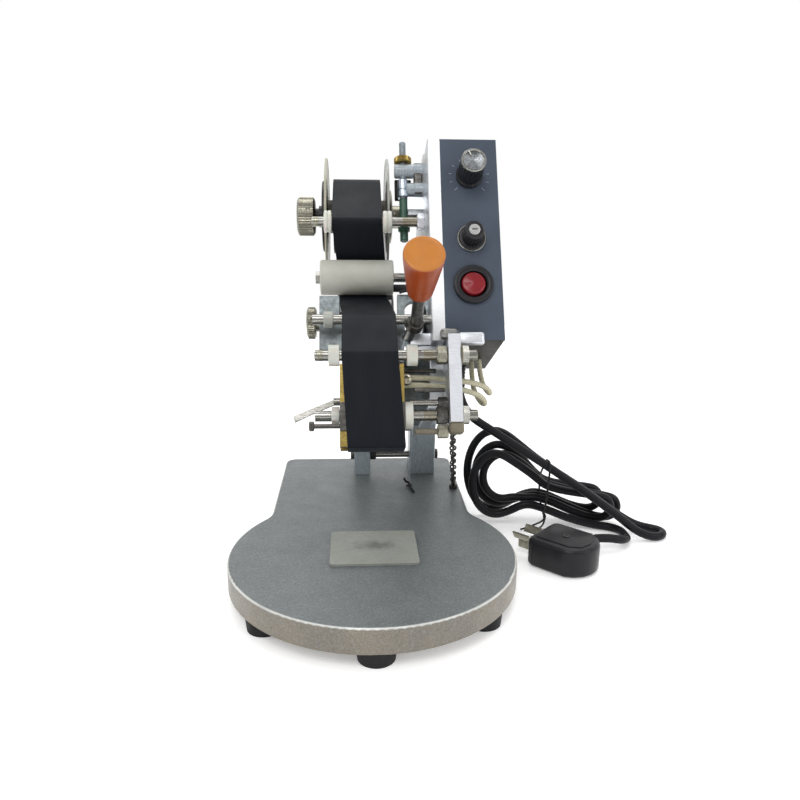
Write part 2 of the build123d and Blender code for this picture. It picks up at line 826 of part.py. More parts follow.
with BuildPart() as plug:
    with BuildSketch(plug_plane):
        with BuildLine():
            Polyline(
                (21, -17), (21, 17), (16, 20), (-10, 20), (-20, 13), (-24, 4), (-24, -4), (-20, -13),
                (-10, -20), (16, -20), close=True,
            )
        make_face()
    extrude(amount=2 * plug_half_h)
    chamfer(faces().sort_by(Axis.Z)[-1].edges(), length=2.5)
    chamfer(faces().sort_by(Axis.Z)[0].edges(), length=2.0)
    pin_face = Plane(origin=plug_plane.from_local_coords(Vector(21, 0, 0)), x_dir=(-1, -1, 0), z_dir=(-1, 1, 0))
    with BuildSketch(pin_face):
        with Locations((0, 5.2)):
            Rectangle(1.6, 6.2)
        with Locations(Location((-7.9, 14.6), 30)):
            Rectangle(1.6, 6.2)
        with Locations(Location((7.9, 14.6), -30)):
            Rectangle(1.6, 6.2)
    extrude(amount=18)
save(plug, "plug")
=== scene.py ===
import json
import math

import bmesh
import bpy
from mathutils import Matrix, Vector


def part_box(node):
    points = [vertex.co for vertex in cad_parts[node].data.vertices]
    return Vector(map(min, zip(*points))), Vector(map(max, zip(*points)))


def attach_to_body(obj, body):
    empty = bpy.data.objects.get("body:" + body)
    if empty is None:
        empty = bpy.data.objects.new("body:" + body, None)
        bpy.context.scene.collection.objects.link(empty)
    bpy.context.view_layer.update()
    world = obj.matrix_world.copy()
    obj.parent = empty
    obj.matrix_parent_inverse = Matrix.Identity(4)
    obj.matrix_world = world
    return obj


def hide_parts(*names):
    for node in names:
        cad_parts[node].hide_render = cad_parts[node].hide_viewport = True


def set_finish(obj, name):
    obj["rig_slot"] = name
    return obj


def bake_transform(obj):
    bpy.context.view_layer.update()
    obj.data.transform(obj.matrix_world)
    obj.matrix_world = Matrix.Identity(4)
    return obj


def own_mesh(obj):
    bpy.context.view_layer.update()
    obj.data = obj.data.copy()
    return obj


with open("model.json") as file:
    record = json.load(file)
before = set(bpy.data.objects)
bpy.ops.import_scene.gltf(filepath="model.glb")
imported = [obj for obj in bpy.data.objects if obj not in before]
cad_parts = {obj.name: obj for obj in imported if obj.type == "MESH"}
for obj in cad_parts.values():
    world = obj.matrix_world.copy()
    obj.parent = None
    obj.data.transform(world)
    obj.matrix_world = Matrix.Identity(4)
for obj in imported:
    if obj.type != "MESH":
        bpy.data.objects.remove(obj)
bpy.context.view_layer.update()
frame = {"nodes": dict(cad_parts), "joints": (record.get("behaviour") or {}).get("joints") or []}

# ------------------------------------------------------------------ places
# Sizes are in millimetres, as on the object, and MM turns them into metres.
MM = 0.001
joints = {joint["name"]: joint for joint in frame["joints"]}
tilt = math.radians(joints["head_tilt"]["range_deg"][1])
pivot = Vector(joints["head_tilt"]["pos_m"])
RIGHT = Vector((1, 0, 0))
UPRIGHT = Vector((0, 0, 1))
BACK = Vector((0, math.cos(tilt), -math.sin(tilt)))
UP = Vector((0, math.sin(tilt), math.cos(tilt)))
FRONT = -BACK


def head(x, back, up):
    """A point of the raised head, from its place along the head's own axes."""
    return Vector((x * MM, pivot.y, pivot.z)) + BACK * (back * MM) + UP * (up * MM)


def axis_place(node):
    """(back, up) of a bar that lies across the head."""
    low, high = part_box(node)
    offset = (low + high) / 2 - pivot
    return offset.dot(BACK) / MM, offset.dot(UP) / MM


def x_span(node):
    low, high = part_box(node)
    return low.x / MM, high.x / MM


def radius_of(node):
    """Radius of a round node that lies across the head, in millimetres."""
    low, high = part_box(node)
    return (high.y - low.y) / 2 / MM


def add_object(name, data):
    """A new object in the scene, from a mesh, curve, camera or light."""
    obj = bpy.data.objects.new(name, data)
    bpy.context.scene.collection.objects.link(obj)
    return obj


base_low, base_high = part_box("base_plate")
disc_r = (base_high.x - base_low.x) / 2
disc_centre = Vector((0, base_low.y + disc_r, base_high.z))
top_z = base_high.z
upper_reel = axis_place("upper_roll")
lower_reel = axis_place("lower_roll")
feed_at = axis_place("feed_roller")
guide_upper = axis_place("guide_upper")
guide_middle = axis_place("guide_middle")
guide_front = axis_place("collar_front_left")
guide_lower = axis_place("collar_lower_left")
handle_bend = head(30.0, -146.0, 41.0)
handle_tip = head(28.9, -221.7, 57.0)
handle_dir = (handle_tip - handle_bend).normalized()
plate_left, plate_right = x_span("side_plate")
heater_right = x_span("heater_block")[1]
box_left, box_right = x_span("box_panel")
box_x = (box_left + box_right) / 2
box_u = 27.2

# ------------------------------------------------------------------ camera
CAMERA_TURN = (3.493, 14.467, 0.487)  # yaw, pitch and roll in degrees
CAMERA_FROM_DISC = Vector((-10.54, -453.06, 220.65)) * MM
camera_data = bpy.data.cameras.new("camera")
camera_data.lens = 33.33
camera_data.sensor_width = 36
camera = add_object("camera", camera_data)
yaw, pitch, roll = (math.radians(a) for a in CAMERA_TURN)
look_dir = Vector((math.sin(yaw) * math.cos(pitch), math.cos(yaw) * math.cos(pitch), -math.sin(pitch)))
level_right = Vector((math.cos(yaw), -math.sin(yaw), 0))
level_up = level_right.cross(look_dir)
cam_right = level_right * math.cos(roll) + level_up * math.sin(roll)
cam_up = level_up * math.cos(roll) - level_right * math.sin(roll)
camera_axes = Matrix((cam_right, cam_up, -look_dir)).transposed().to_4x4()
camera.matrix_world = Matrix.Translation(disc_centre + CAMERA_FROM_DISC) @ camera_axes
bpy.context.scene.camera = camera


# ------------------------------------------------------------------ materials
class Nodes:
    """A material's node tree, with short calls for what the looks below use."""

    def __init__(self, name):
        self.material = bpy.data.materials.new(name)
        self.material.use_nodes = True
        self.tree = self.material.node_tree
        self.shader = self.tree.nodes["Principled BSDF"]
        self.place = self.node("ShaderNodeTexCoord").outputs["Object"]

    def node(self, kind, **values):
        made = self.tree.nodes.new(kind)
        for key, value in values.items():
            setattr(made, key, value)
        return made

    def link(self, source, socket):
        self.tree.links.new(source, socket)

    def stretched(self, scale, turn=(0, 0, 0)):
        mapping = self.node("ShaderNodeMapping")
        mapping.inputs["Scale"].default_value = scale
        mapping.inputs["Rotation"].default_value = turn
        self.link(self.place, mapping.inputs["Vector"])
        return mapping.outputs["Vector"]

    def noise(self, scale, detail=4.0, rough=0.55, vector=None):
        made = self.node("ShaderNodeTexNoise")
        made.inputs["Scale"].default_value = scale
        made.inputs["Detail"].default_value = detail
        made.inputs["Roughness"].default_value = rough
        self.link(vector or self.place, made.inputs["Vector"])
        return made.outputs["Fac"]

    def cells(self, scale, vector=None, feature="F1"):
        made = self.node("ShaderNodeTexVoronoi", feature=feature)
        made.inputs["Scale"].default_value = scale
        self.link(vector or self.place, made.inputs["Vector"])
        return made.outputs["Distance"]

    def wave(self, scale, vector=None, distortion=0.0, direction="X"):
        made = self.node("ShaderNodeTexWave", bands_direction=direction)
        made.inputs["Scale"].default_value = scale
        made.inputs["Distortion"].default_value = distortion
        self.link(vector or self.place, made.inputs["Vector"])
        return made.outputs["Fac"]

    def spread(self, source, low, high, start=0.3, end=0.7):
        """source, from start to end, becomes low to high."""
        made = self.node("ShaderNodeMapRange")
        self.link(source, made.inputs["Value"])
        for key, value in (("From Min", start), ("From Max", end), ("To Min", low), ("To Max", high)):
            made.inputs[key].default_value = value
        return made.outputs["Result"]

    def mix(self, share, first, second):
        """first where share is 0, second where it is 1; each is a colour or a socket."""
        made = self.node("ShaderNodeMix", data_type="RGBA")
        self.link(share, made.inputs["Factor"])
        for socket, value in ((made.inputs[6], first), (made.inputs[7], second)):
            if isinstance(value, tuple):
                socket.default_value = (*value, 1)
            else:
                self.link(value, socket)
        return made.outputs[2]

    def combine(self, first, second, how="MULTIPLY"):
        made = self.node("ShaderNodeMath", operation=how)
        for socket, value in zip(made.inputs, (first, second)):
            if isinstance(value, (int, float)):
                socket.default_value = value
            else:
                self.link(value, socket)
        return made.outputs["Value"]

    def facing(self, direction, start, end):
        """0 to 1 as the surface turns to look along direction."""
        dot = self.node("ShaderNodeVectorMath", operation="DOT_PRODUCT")
        self.link(self.node("ShaderNodeNewGeometry").outputs["Normal"], dot.inputs[0])
        dot.inputs[1].default_value = direction
        return self.spread(dot.outputs["Value"], 0.0, 1.0, start, end)

    def edges(self, start=0.52, end=0.62):
        """Near 1 along convex edges, where a finish wears and where a highlight is painted."""
        return self.spread(self.node("ShaderNodeNewGeometry").outputs["Pointiness"], 0.0, 1.0, start, end)

    def spots(self, scale, detail, high, start=0.3, end=0.7):
        """Noise from 0 to high."""
        return self.spread(self.noise(scale, detail), 0.0, high, start, end)

    def distance(self, centre, scale):
        """How far a place is from centre, with each axis stretched by scale."""
        vector = self.place
        for how, value in (("SUBTRACT", centre), ("MULTIPLY", scale)):
            made = self.node("ShaderNodeVectorMath", operation=how)
            self.link(vector, made.inputs[0])
            made.inputs[1].default_value = value
            vector = made.outputs["Vector"]
        length = self.node("ShaderNodeVectorMath", operation="LENGTH")
        self.link(vector, length.inputs[0])
        return length.outputs["Value"]

    def grain(self, scale, detail, depth, strength):
        self.bump(self.noise(scale, detail), depth, strength)

    def bump(self, height, depth, strength=1.0):
        made = self.node("ShaderNodeBump")
        made.inputs["Distance"].default_value = depth * MM
        made.inputs["Strength"].default_value = strength
        self.link(height, made.inputs["Height"])
        if self.shader.inputs["Normal"].is_linked:
            self.link(self.shader.inputs["Normal"].links[0].from_socket, made.inputs["Normal"])
        self.link(made.outputs["Normal"], self.shader.inputs["Normal"])

    def color(self, source):
        if isinstance(source, tuple):
            self.shader.inputs["Base Color"].default_value = (*source, 1)
        else:
            self.link(source, self.shader.inputs["Base Color"])

    def rough(self, source):
        if isinstance(source, (int, float)):
            self.shader.inputs["Roughness"].default_value = source
        else:
            self.link(source, self.shader.inputs["Roughness"])

    def rough_noise(self, scale, detail, low, high):
        self.rough(self.spread(self.noise(scale, detail), low, high))

    def set(self, **values):
        for key, value in values.items():
            self.shader.inputs[key.replace("_", " ")].default_value = value


def hammered_paint(name, top, wall):
    """Silver hammer-finish paint: shallow dimples, fine flake, a warmer side wall that is a painted
    reflection, and a painted highlight with wear along the top rim.
    """
    n = Nodes(name)
    flake = n.noise(820, 3, 0.7)
    blotch = n.noise(38, 5, 0.6)
    dimples = n.cells(430)
    # the side wall's warmer colour is a painted reflection of the surroundings on the same paint
    up = n.facing(UPRIGHT, 0.25, 0.6)
    base = n.mix(up, wall, top)
    darker = n.mix(n.spread(blotch, 0.0, 0.45), base, tuple(c * 0.66 for c in top))
    lit = n.mix(n.spread(flake, 0.0, 0.34, 0.48, 0.70), darker, tuple(min(1.0, c * 2.3) for c in top))
    dull = n.mix(n.spots(760, 2, 0.4, 0.52, 0.72), lit, tuple(c * 0.35 for c in wall))
    # painted highlight along the top rim's fillet, broken by noise, which also stands for wear there
    rim = n.combine(n.facing(UPRIGHT, 0.12, 0.45), n.facing(-UPRIGHT, -0.97, -0.85))
    rim_highlight_and_wear = n.mix(n.combine(rim, n.spread(n.noise(45, 4), 0.55, 1.0)), dull, (0.72, 0.72, 0.69))
    n.color(rim_highlight_and_wear)
    n.rough_noise(60, 4, 0.34, 0.50)
    n.bump(dimples, 0.18, 0.6)
    n.grain(900, 3, 0.06, 0.5)
    n.set(Metallic=0.25, Coat_Weight=0.15, Coat_Roughness=0.22)
    return n.material


def bare_metal(name, light, dark, rough, grain=(14, 260, 260), stain=0.4, metallic=1.0, top_darkening=0.0):
    """Machined metal: a directional grain, faint stains, edges painted lighter for polish and as a painted
    highlight, and faces that look up the head made darker by the last argument.
    """
    n = Nodes(name)
    lines = n.noise(6, 6, 0.65, n.stretched(grain))
    cloud = n.noise(55, 5, 0.6)
    shade = n.mix(n.spread(lines, 0.0, 1.0), light, dark)
    shade = n.mix(n.spread(cloud, 0.0, stain, 0.45, 0.75), shade, tuple(c * 0.55 for c in dark))
    shade = n.mix(n.spots(900, 2, 0.25, 0.6, 0.8), shade, (0.16, 0.13, 0.10))
    # faces that look up the head are made darker, by the share given as the last argument
    if top_darkening:
        shade = n.mix(n.combine(n.facing(UP, 0.3, 0.8), top_darkening), shade, tuple(c * 0.45 for c in dark))
    # convex edges painted lighter: polish and wear, and a painted highlight
    n.color(n.mix(n.edges(0.60, 0.76), shade, tuple(min(1.0, c * 1.25) for c in light)))
    n.rough(n.combine(n.spread(lines, rough * 0.8, rough * 1.25), n.spread(cloud, 0.9, 1.25)))
    n.bump(lines, 0.03, 0.4)
    n.grain(700, 3, 0.02, 0.3)
    n.set(Metallic=metallic)
    return n.material


def moulded(name, base, other, rough, grit=900, depth=0.02, coat=0.0, glow=0.0, gloss=0.5):
    """Moulded plastic or rubber: a fine skin texture and cloudy tone."""
    n = Nodes(name)
    tone = n.mix(n.spots(70, 4, 1.0), base, other)
    # convex edges painted lighter: wear, and a painted highlight
    lighter = tuple(min(1.0, c * 1.2 + 0.02) for c in base)
    n.color(n.mix(n.edges(), tone, lighter))
    n.rough_noise(150, 5, rough * 0.85, rough * 1.2)
    n.bump(n.noise(grit, 4), depth, 0.5)
    n.set(Coat_Weight=coat, Coat_Roughness=0.12, Specular_IOR_Level=gloss)
    if glow:
        n.set(Subsurface_Weight=glow, Subsurface_Scale=0.003)
    return n.material


def panel_paint(name):
    """Charcoal powder coat with a fine even texture."""
    n = Nodes(name)
    tone = n.mix(n.spots(35, 5, 1.0), (0.050, 0.064, 0.088), (0.064, 0.081, 0.110))
    specks = n.mix(n.spots(1600, 2, 0.5, 0.6, 0.8), tone, (0.10, 0.11, 0.13))
    shaded = n.mix(n.facing(-UPRIGHT, 0.5, 0.8), specks, (0.038, 0.034, 0.028))
    n.color(shaded)
    n.rough_noise(90, 4, 0.42, 0.58)
    n.set(Specular_IOR_Level=0.18)
    n.grain(1300, 3, 0.05, 0.55)
    return n.material


def ribbon_film(name):
    """Coated hot-stamp film: dark slate with a blue sheen and long faint tension marks."""
    n = Nodes(name)
    streak = n.noise(5, 6, 0.6, n.stretched((420, 12, 12)))
    n.color(n.mix(n.spread(streak, 0.0, 1.0), (0.0055, 0.0068, 0.0095), (0.0085, 0.0102, 0.014)))
    n.rough_noise(40, 4, 0.40, 0.54)
    n.bump(streak, 0.012, 0.2)
    n.grain(22, 2, 0.4, 0.12)
    n.set(Specular_IOR_Level=0.10, Sheen_Weight=0.02, Sheen_Roughness=0.4, Sheen_Tint=(0.6, 0.75, 1.0, 1))
    return n.material


def wound_roll(name, reel):
    """Ribbon wound on a reel: the layers show as fine rings on its two ends."""
    n = Nodes(name)
    ring = n.combine(n.combine(n.distance(head(0, *reel), (0, 1, 1)), 5200.0), 0.0, "SINE")
    tone = n.mix(n.spread(ring, 0.0, 1.0, -1.0, 1.0), (0.0050, 0.0060, 0.0080), (0.010, 0.0115, 0.014))
    n.color(tone)
    n.rough_noise(60, 4, 0.40, 0.54)
    n.bump(ring, 0.02, 0.4)
    n.set(Specular_IOR_Level=0.07, Sheen_Weight=0.02, Sheen_Tint=(0.6, 0.75, 1.0, 1))
    return n.material


def braid(name, base, shadow):
    """Glass-fibre sleeving: two crossing sets of fine strands."""
    n = Nodes(name)
    one = n.wave(620, n.stretched((1, 1, 1), (0, 0, math.radians(35))), 0.6)
    two = n.wave(620, n.stretched((1, 1, 1), (0, math.radians(-35), math.radians(-30))), 0.6)
    weave = n.combine(one, two, "MAXIMUM")
    tone = n.mix(n.spread(weave, 0.0, 1.0, 0.35, 0.9), shadow, base)
    n.color(n.mix(n.spots(120, 5, 0.5, 0.5, 0.8), tone, (0.40, 0.33, 0.20)))
    n.rough_noise(300, 3, 0.65, 0.85)
    n.bump(weave, 0.25, 0.7)
    return n.material


def pad_rubber(name):
    """Pale silicone pad, printed dark in the middle by use."""
    n = Nodes(name)
    low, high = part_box("stamp_pad")
    reach = n.distance((low + high) / 2 + Vector((0.001, 0.001, 0)), (62, 110, 0))
    ragged = n.combine(reach, n.spread(n.noise(160, 6, 0.7), -0.45, 0.45), "ADD")
    smudge = n.spread(ragged, 0.55, 0.0, 0.15, 1.0)
    tone = n.mix(n.spots(45, 5, 1.0), (0.285, 0.295, 0.265), (0.235, 0.245, 0.22))
    grime = n.mix(n.spots(420, 4, 0.4, 0.5, 0.8), tone, (0.17, 0.165, 0.145))
    n.color(n.mix(smudge, grime, (0.055, 0.055, 0.052)))
    n.rough_noise(200, 4, 0.5, 0.7)
    n.grain(500, 4, 0.06, 0.5)
    return n.material


def glossy_grip(name):
    """Orange grip plastic, painted a lighter amber on the domed face as lit and a deeper red-orange down the
    tapered body as shaded.
    """
    n = Nodes(name)
    # painted light and shade on one plastic: the face looking along the handle lighter, the body darker
    face = n.facing(handle_dir, 0.25, 0.8)
    body = n.mix(n.spots(60, 4, 1.0), (0.30, 0.052, 0.006), (0.23, 0.036, 0.005))
    end = n.mix(n.spots(80, 4, 1.0), (0.48, 0.165, 0.010), (0.41, 0.135, 0.009))
    n.color(n.mix(face, body, end))
    n.rough_noise(150, 5, 0.30, 0.42)
    n.grain(420, 4, 0.03, 0.5)
    n.set(Coat_Weight=0.12, Coat_Roughness=0.18, Subsurface_Weight=0.06, Subsurface_Scale=0.003)
    return n.material


def clear_plastic(name, tint):
    n = Nodes(name)
    n.color(n.mix(n.spots(90, 3, 1.0), tint, tuple(c * 0.9 for c in tint)))
    n.rough_noise(120, 3, 0.06, 0.16)
    n.grain(150, 3, 0.02, 0.3)
    n.set(Transmission_Weight=0.55, IOR=1.46)
    return n.material


# light, dark, rough, grain, stain, metallic, darkening of faces that look up the head
METALS = {
    "bare_aluminium": ((0.80, 0.82, 0.85), (0.63, 0.65, 0.69), 0.36, (30, 30, 400), 0.4, 1.0, 0.75),
    "plate_grey": ((0.25, 0.285, 0.30), (0.15, 0.165, 0.165), 0.40, (60, 60, 60), 0.35, 0.6),
    "polished_steel": ((0.46, 0.46, 0.43), (0.20, 0.19, 0.17), 0.22, (30, 300, 300)),
    "cast_aluminium": ((0.46, 0.52, 0.56), (0.22, 0.25, 0.27), 0.34, (300, 300, 10), 0.2, 0.3),
    "dark_steel": ((0.14, 0.135, 0.125), (0.06, 0.057, 0.052), 0.38, (60, 60, 60), 0.5),
    "steel_grey": ((0.36, 0.36, 0.34), (0.20, 0.20, 0.185), 0.34, (60, 60, 60), 0.4),
    "brass": ((0.38, 0.28, 0.085), (0.19, 0.14, 0.045), 0.34, (120, 120, 120), 0.6),
    "nickel": ((0.36, 0.35, 0.285), (0.17, 0.16, 0.125), 0.30, (200, 60, 60), 0.5),
    "blue_zinc": ((0.62, 0.68, 0.74), (0.40, 0.46, 0.53), 0.3, (90, 90, 90), 0.4),
    "spun_face": ((0.30, 0.31, 0.32), (0.16, 0.17, 0.18), 0.26, (90, 90, 90), 0.3),
}
# base, other, rough, grit, depth, coat, glow, gloss
MOULDED = {
    "rubber_black": ((0.010, 0.010, 0.011), (0.017, 0.017, 0.018), 0.62, 700, 0.05, 0.0, 0.0, 0.2),
    "red_plastic": ((0.22, 0.006, 0.012), (0.16, 0.005, 0.009), 0.26, 400, 0.01, 0.3, 0.1, 0.3),
    "black_plastic": ((0.008, 0.008, 0.010), (0.015, 0.015, 0.017), 0.34, 1000, 0.02, 0.04, 0.0, 0.22),
    "white_plastic": ((0.56, 0.56, 0.51), (0.45, 0.45, 0.40), 0.38, 600, 0.02, 0.1, 0.25),
    "reel_plastic": ((0.34, 0.34, 0.25), (0.25, 0.26, 0.19), 0.35, 500, 0.02, 0.1, 0.2),
    "feed_rubber": ((0.47, 0.47, 0.415), (0.40, 0.40, 0.35), 0.55, 500, 0.06, 0.0, 0.1),
    "grey_rubber": ((0.04, 0.04, 0.04), (0.06, 0.06, 0.06), 0.6, 600, 0.05, 0.0, 0.0, 0.3),
    "cord_rubber": ((0.0045, 0.0045, 0.006), (0.009, 0.009, 0.011), 0.34, 700, 0.015, 0.02, 0.0, 0.14),
    "green_sleeve": ((0.020, 0.070, 0.045), (0.035, 0.095, 0.060), 0.4, 500, 0.03),
    "brown_fibre": ((0.105, 0.090, 0.060), (0.19, 0.165, 0.115), 0.5, 350, 0.08),
    "frosted": ((0.30, 0.31, 0.28), (0.22, 0.23, 0.21), 0.3, 500, 0.02, 0.2, 0.2),
    "tick_paint": ((0.20, 0.23, 0.30), (0.15, 0.18, 0.24), 0.5, 500, 0.01),
}
LOOKS = {
    # the second colour, for the warm side wall, is a painted reflection
    "base_paint": hammered_paint("base_paint", (0.142, 0.159, 0.161), (0.205, 0.173, 0.130)),
    "box_paint": panel_paint("box_paint"),
    "pad_rubber": pad_rubber("pad_rubber"),
    "grip_plastic": glossy_grip("grip_plastic"),
    "ribbon_film": ribbon_film("ribbon_film"),
    "upper_roll": wound_roll("upper_roll", upper_reel),
    "lower_roll": wound_roll("lower_roll", lower_reel),
    "lead_sleeve": braid("lead_sleeve", (0.66, 0.63, 0.47), (0.30, 0.27, 0.16)),
    "clear_cap": clear_plastic("clear_cap", (0.85, 0.86, 0.84)),
}
LOOKS.update({name: bare_metal(name, *values) for name, values in METALS.items()})
LOOKS.update({name: moulded(name, *values) for name, values in MOULDED.items()})

SLOT_OF = {"upper_roll": "ribbon_film", "lower_roll": "ribbon_film", "cast_aluminium": "polished_steel",
           "green_sleeve": "grey_rubber", "brown_fibre": "black_plastic", "blue_zinc": "nickel",
           "clear_cap": "white_plastic", "frosted": "reel_plastic", "spun_face": "nickel",
           "tick_paint": "white_plastic",
           "plate_grey": "dark_steel", "steel_grey": "dark_steel"}

NODES_OF_LOOK = {
    "base_paint": "base_plate",
    "pad_rubber": "stamp_pad",
    "cast_aluminium": "post_left post_right",
    "polished_steel": "pivot_shaft tie_rod guide_upper guide_middle guide_front guide_lower "
                      "feed_axle type_lever",
    "dark_steel": "chain_anchor type_clamp adjuster_bracket feed_lever",
    "plate_grey": "head_arm",
    "bare_aluminium": "side_plate link_plate",
    "box_paint": "control_box box_panel",
    "black_plastic": "switch_bezel",
    "white_plastic": "collar_front_left collar_front_right collar_lower_left collar_lower_right",
    "brass": "heater_block type_holder",
    "steel_grey": "handle_rod",
    "lead_sleeve": "lead_front lead_back",
    "reel_plastic": "upper_spool lower_spool",
    "upper_roll": "upper_roll",
    "lower_roll": "lower_roll",
    "feed_rubber": "feed_roller",
    "grey_rubber": "press_roller",
    "rubber_black": "foot_front foot_left foot_right foot_tail_left foot_tail_right",
}
ROUNDING = {"control_box": 0.9, "feed_roller": 1.2, "stamp_pad": 0.3, "press_roller": 0.8}
SPLIT_EDGES = {"box_panel", "side_plate"}
PLAIN_EDGES = {"base_plate", "lead_front", "lead_back", "upper_spool", "lower_spool"}
EDGE_ANGLE = math.radians(32)

for name, look in ((name, look) for look, names in NODES_OF_LOOK.items() for name in names.split()):
    node = frame["nodes"][name]
    node.data.materials.clear()
    node.data.materials.append(LOOKS[look])
    node.data.shade_smooth()
    weld = node.modifiers.new("weld", "WELD")
    weld.merge_threshold = 0.01 * MM
    if name in SPLIT_EDGES:
        node.modifiers.new("edges", "EDGE_SPLIT").split_angle = EDGE_ANGLE
    elif name not in PLAIN_EDGES:
        bevel = node.modifiers.new("edges", "BEVEL")
        bevel.limit_method = "ANGLE"
        bevel.angle_limit = EDGE_ANGLE
        bevel.width = ROUNDING.get(name, 0.35) * MM
        bevel.segments = 3
    node.modifiers.new("normals", "WEIGHTED_NORMAL").weight = 60


# ------------------------------------------------------------------ mesh tools
def attach(obj, slot, body, stands_for):
    """Gives a piece its slot, lets it ride on its body and stand for CAD nodes."""
    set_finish(obj, slot)
    if body:
        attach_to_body(obj, body)
    if stands_for:
        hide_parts(*stands_for)
    return obj


def finish_mesh(obj, look, body, stands_for=(), smooth=35):
    """Cleans a piece's mesh, gives it its look and slot, and lets it ride on its body."""
    work = bmesh.new()
    work.from_mesh(obj.data)
    bmesh.ops.remove_doubles(work, verts=work.verts, dist=0.0005 * MM)
    bmesh.ops.recalc_face_normals(work, faces=work.faces)
    work.to_mesh(obj.data)
    work.free()
    obj.data.shade_smooth()
    obj.data.set_sharp_from_angle(angle=math.radians(smooth))
    obj.data.materials.clear()
    obj.data.materials.append(LOOKS[look])
    return attach(obj, SLOT_OF.get(look, look), body, stands_for)


def make_mesh(name, verts, faces):
    mesh = bpy.data.meshes.new(name)
    mesh.from_pydata([tuple(v) for v in verts], [], faces)
    return add_object(name, mesh)


def lathe(name, profile, origin, axis, look, body, steps=64, shape=None, side=None, loop=False,
          stands_for=(), smooth=35):
    """Turned piece. profile holds (along, radius); shape(angle, along, radius) may vary the radius."""
    axis = axis.normalized()
    side = (side or axis.orthogonal()).normalized()
    other = axis.cross(side)
    verts, rings = [], []
    for along, radius in profile:
        ring = []
        for k in range(steps if radius else 1):
            angle = 2 * math.pi * k / steps
            r = shape(angle, along, radius) if shape and radius else radius
            out = side * math.cos(angle) + other * math.sin(angle)
            verts.append(origin + axis * (along * MM) + out * (r * MM))
            ring.append(len(verts) - 1)
        rings.append(ring)
    pairs = list(zip(rings, rings[1:]))
    if loop:
        pairs.append((rings[-1], rings[0]))
    faces = []
    for a, b in pairs:
        for k in range(steps):
            quad = [a[k % len(a)], a[(k + 1) % len(a)], b[(k + 1) % len(b)], b[k % len(b)]]
            faces.append(tuple(dict.fromkeys(quad)))
    return finish_mesh(make_mesh(name, verts, [f for f in faces if len(f) > 2]), look, body, stands_for,
                       smooth)


def bevelled(obj, radius, segments=4, turn_out=False):
    """Rounds every edge of a block; turn_out first makes its faces look outwards."""
    work = bmesh.new()
    work.from_mesh(obj.data)
    if turn_out:
        bmesh.ops.recalc_face_normals(work, faces=work.faces)
    bmesh.ops.bevel(work, geom=work.edges[:], offset=radius * MM, segments=segments, profile=0.5,
                    affect="EDGES")
    work.to_mesh(obj.data)
    work.free()
    return obj


def rounded_box(name, centre, axes, sizes, radius, look, body, segments=4, stands_for=()):
    """Block with rounded edges, its sizes along three given directions."""
    verts = []
    for i in (-1, 1):
        for j in (-1, 1):
            for k in (-1, 1):
                verts.append(centre + sum((a * (s * d * MM / 2) for a, s, d in zip(axes, sizes, (i, j, k))),
                                          Vector()))
    faces = [(0, 1, 3, 2), (4, 6, 7, 5), (0, 4, 5, 1), (2, 3, 7, 6), (0, 2, 6, 4), (1, 5, 7, 3)]
    return finish_mesh(bevelled(make_mesh(name, verts, faces), radius, segments), look, body, stands_for)


def outline_block(name, outline, origin, right, up, depth, radius, look, body, stands_for=()):
    """Flat outline pushed out by depth along right x up, with rounded rims."""
    normal = right.cross(up)
    verts = [origin + right * (x * MM) + up * (y * MM) for x, y in outline]
    verts += [v + normal * (depth * MM) for v in verts]
    n = len(outline)
    faces = [tuple(range(n)), tuple(range(n, 2 * n))]
    faces += [(i, (i + 1) % n, n + (i + 1) % n, n + i) for i in range(n)]
    return finish_mesh(bevelled(make_mesh(name, verts, faces), radius, 4, True), look, body, stands_for)


def nurbs_curve(name, points, closed=False):
    """Curve object through a smooth NURBS spline with these control points."""
    data = bpy.data.curves.new(name, "CURVE")
    data.dimensions = "3D"
    data.resolution_u = 12
    spline = data.splines.new("NURBS")
    spline.points.add(len(points) - 1)
    for slot, point in zip(spline.points, points):
        slot.co = (*point, 1)
    spline.order_u = 3
    spline.use_endpoint_u = not closed
    spline.use_cyclic_u = closed
    return add_object(name, data)


def curve_mesh(curve):
    bpy.context.view_layer.update()
    return bpy.data.meshes.new_from_object(curve.evaluated_get(bpy.context.evaluated_depsgraph_get()))


def curve_points(curve):
    """The points of the curve's own line, from its mesh with no bevel."""
    depth, curve.data.bevel_depth = curve.data.bevel_depth, 0
    mesh = curve_mesh(curve)
    points = [v.co.copy() for v in mesh.vertices]
    bpy.data.meshes.remove(mesh)
    curve.data.bevel_depth = depth
    return points


def line_length(points):
    return sum((b - a).length for a, b in zip(points, points[1:]))


def wire(name, points, radius, look, body=None, closed=False, stands_for=(), rings=4):
    """Round wire or tube along a smooth spline, as a mesh."""
    curve = nurbs_curve(name + "_line", points, closed)
    line = curve_points(curve)
    curve.data.bevel_depth = radius * MM
    curve.data.bevel_resolution = rings
    curve.data.use_fill_caps = not closed
    mesh = curve_mesh(curve)
    mesh.name = name
    bpy.data.objects.remove(curve)
    return finish_mesh(add_object(name, mesh), look, body, stands_for, 50), line


def join(name, pieces, body, stands_for=()):
    """One object from several meshes that share a look."""
    work = bmesh.new()
    for piece in pieces:
        piece.data.transform(piece.matrix_world)
        work.from_mesh(piece.data)
    look = pieces[0].data.materials[0]
    slot = pieces[0]["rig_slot"]
    for piece in pieces:
        bpy.data.objects.remove(piece)
    mesh = bpy.data.meshes.new(name)
    work.to_mesh(mesh)
    work.free()
    mesh.materials.append(look)
    obj = add_object(name, mesh)
    mesh.shade_smooth()
    mesh.set_sharp_from_angle(angle=math.radians(40))
    return attach(obj, slot, body, stands_for)


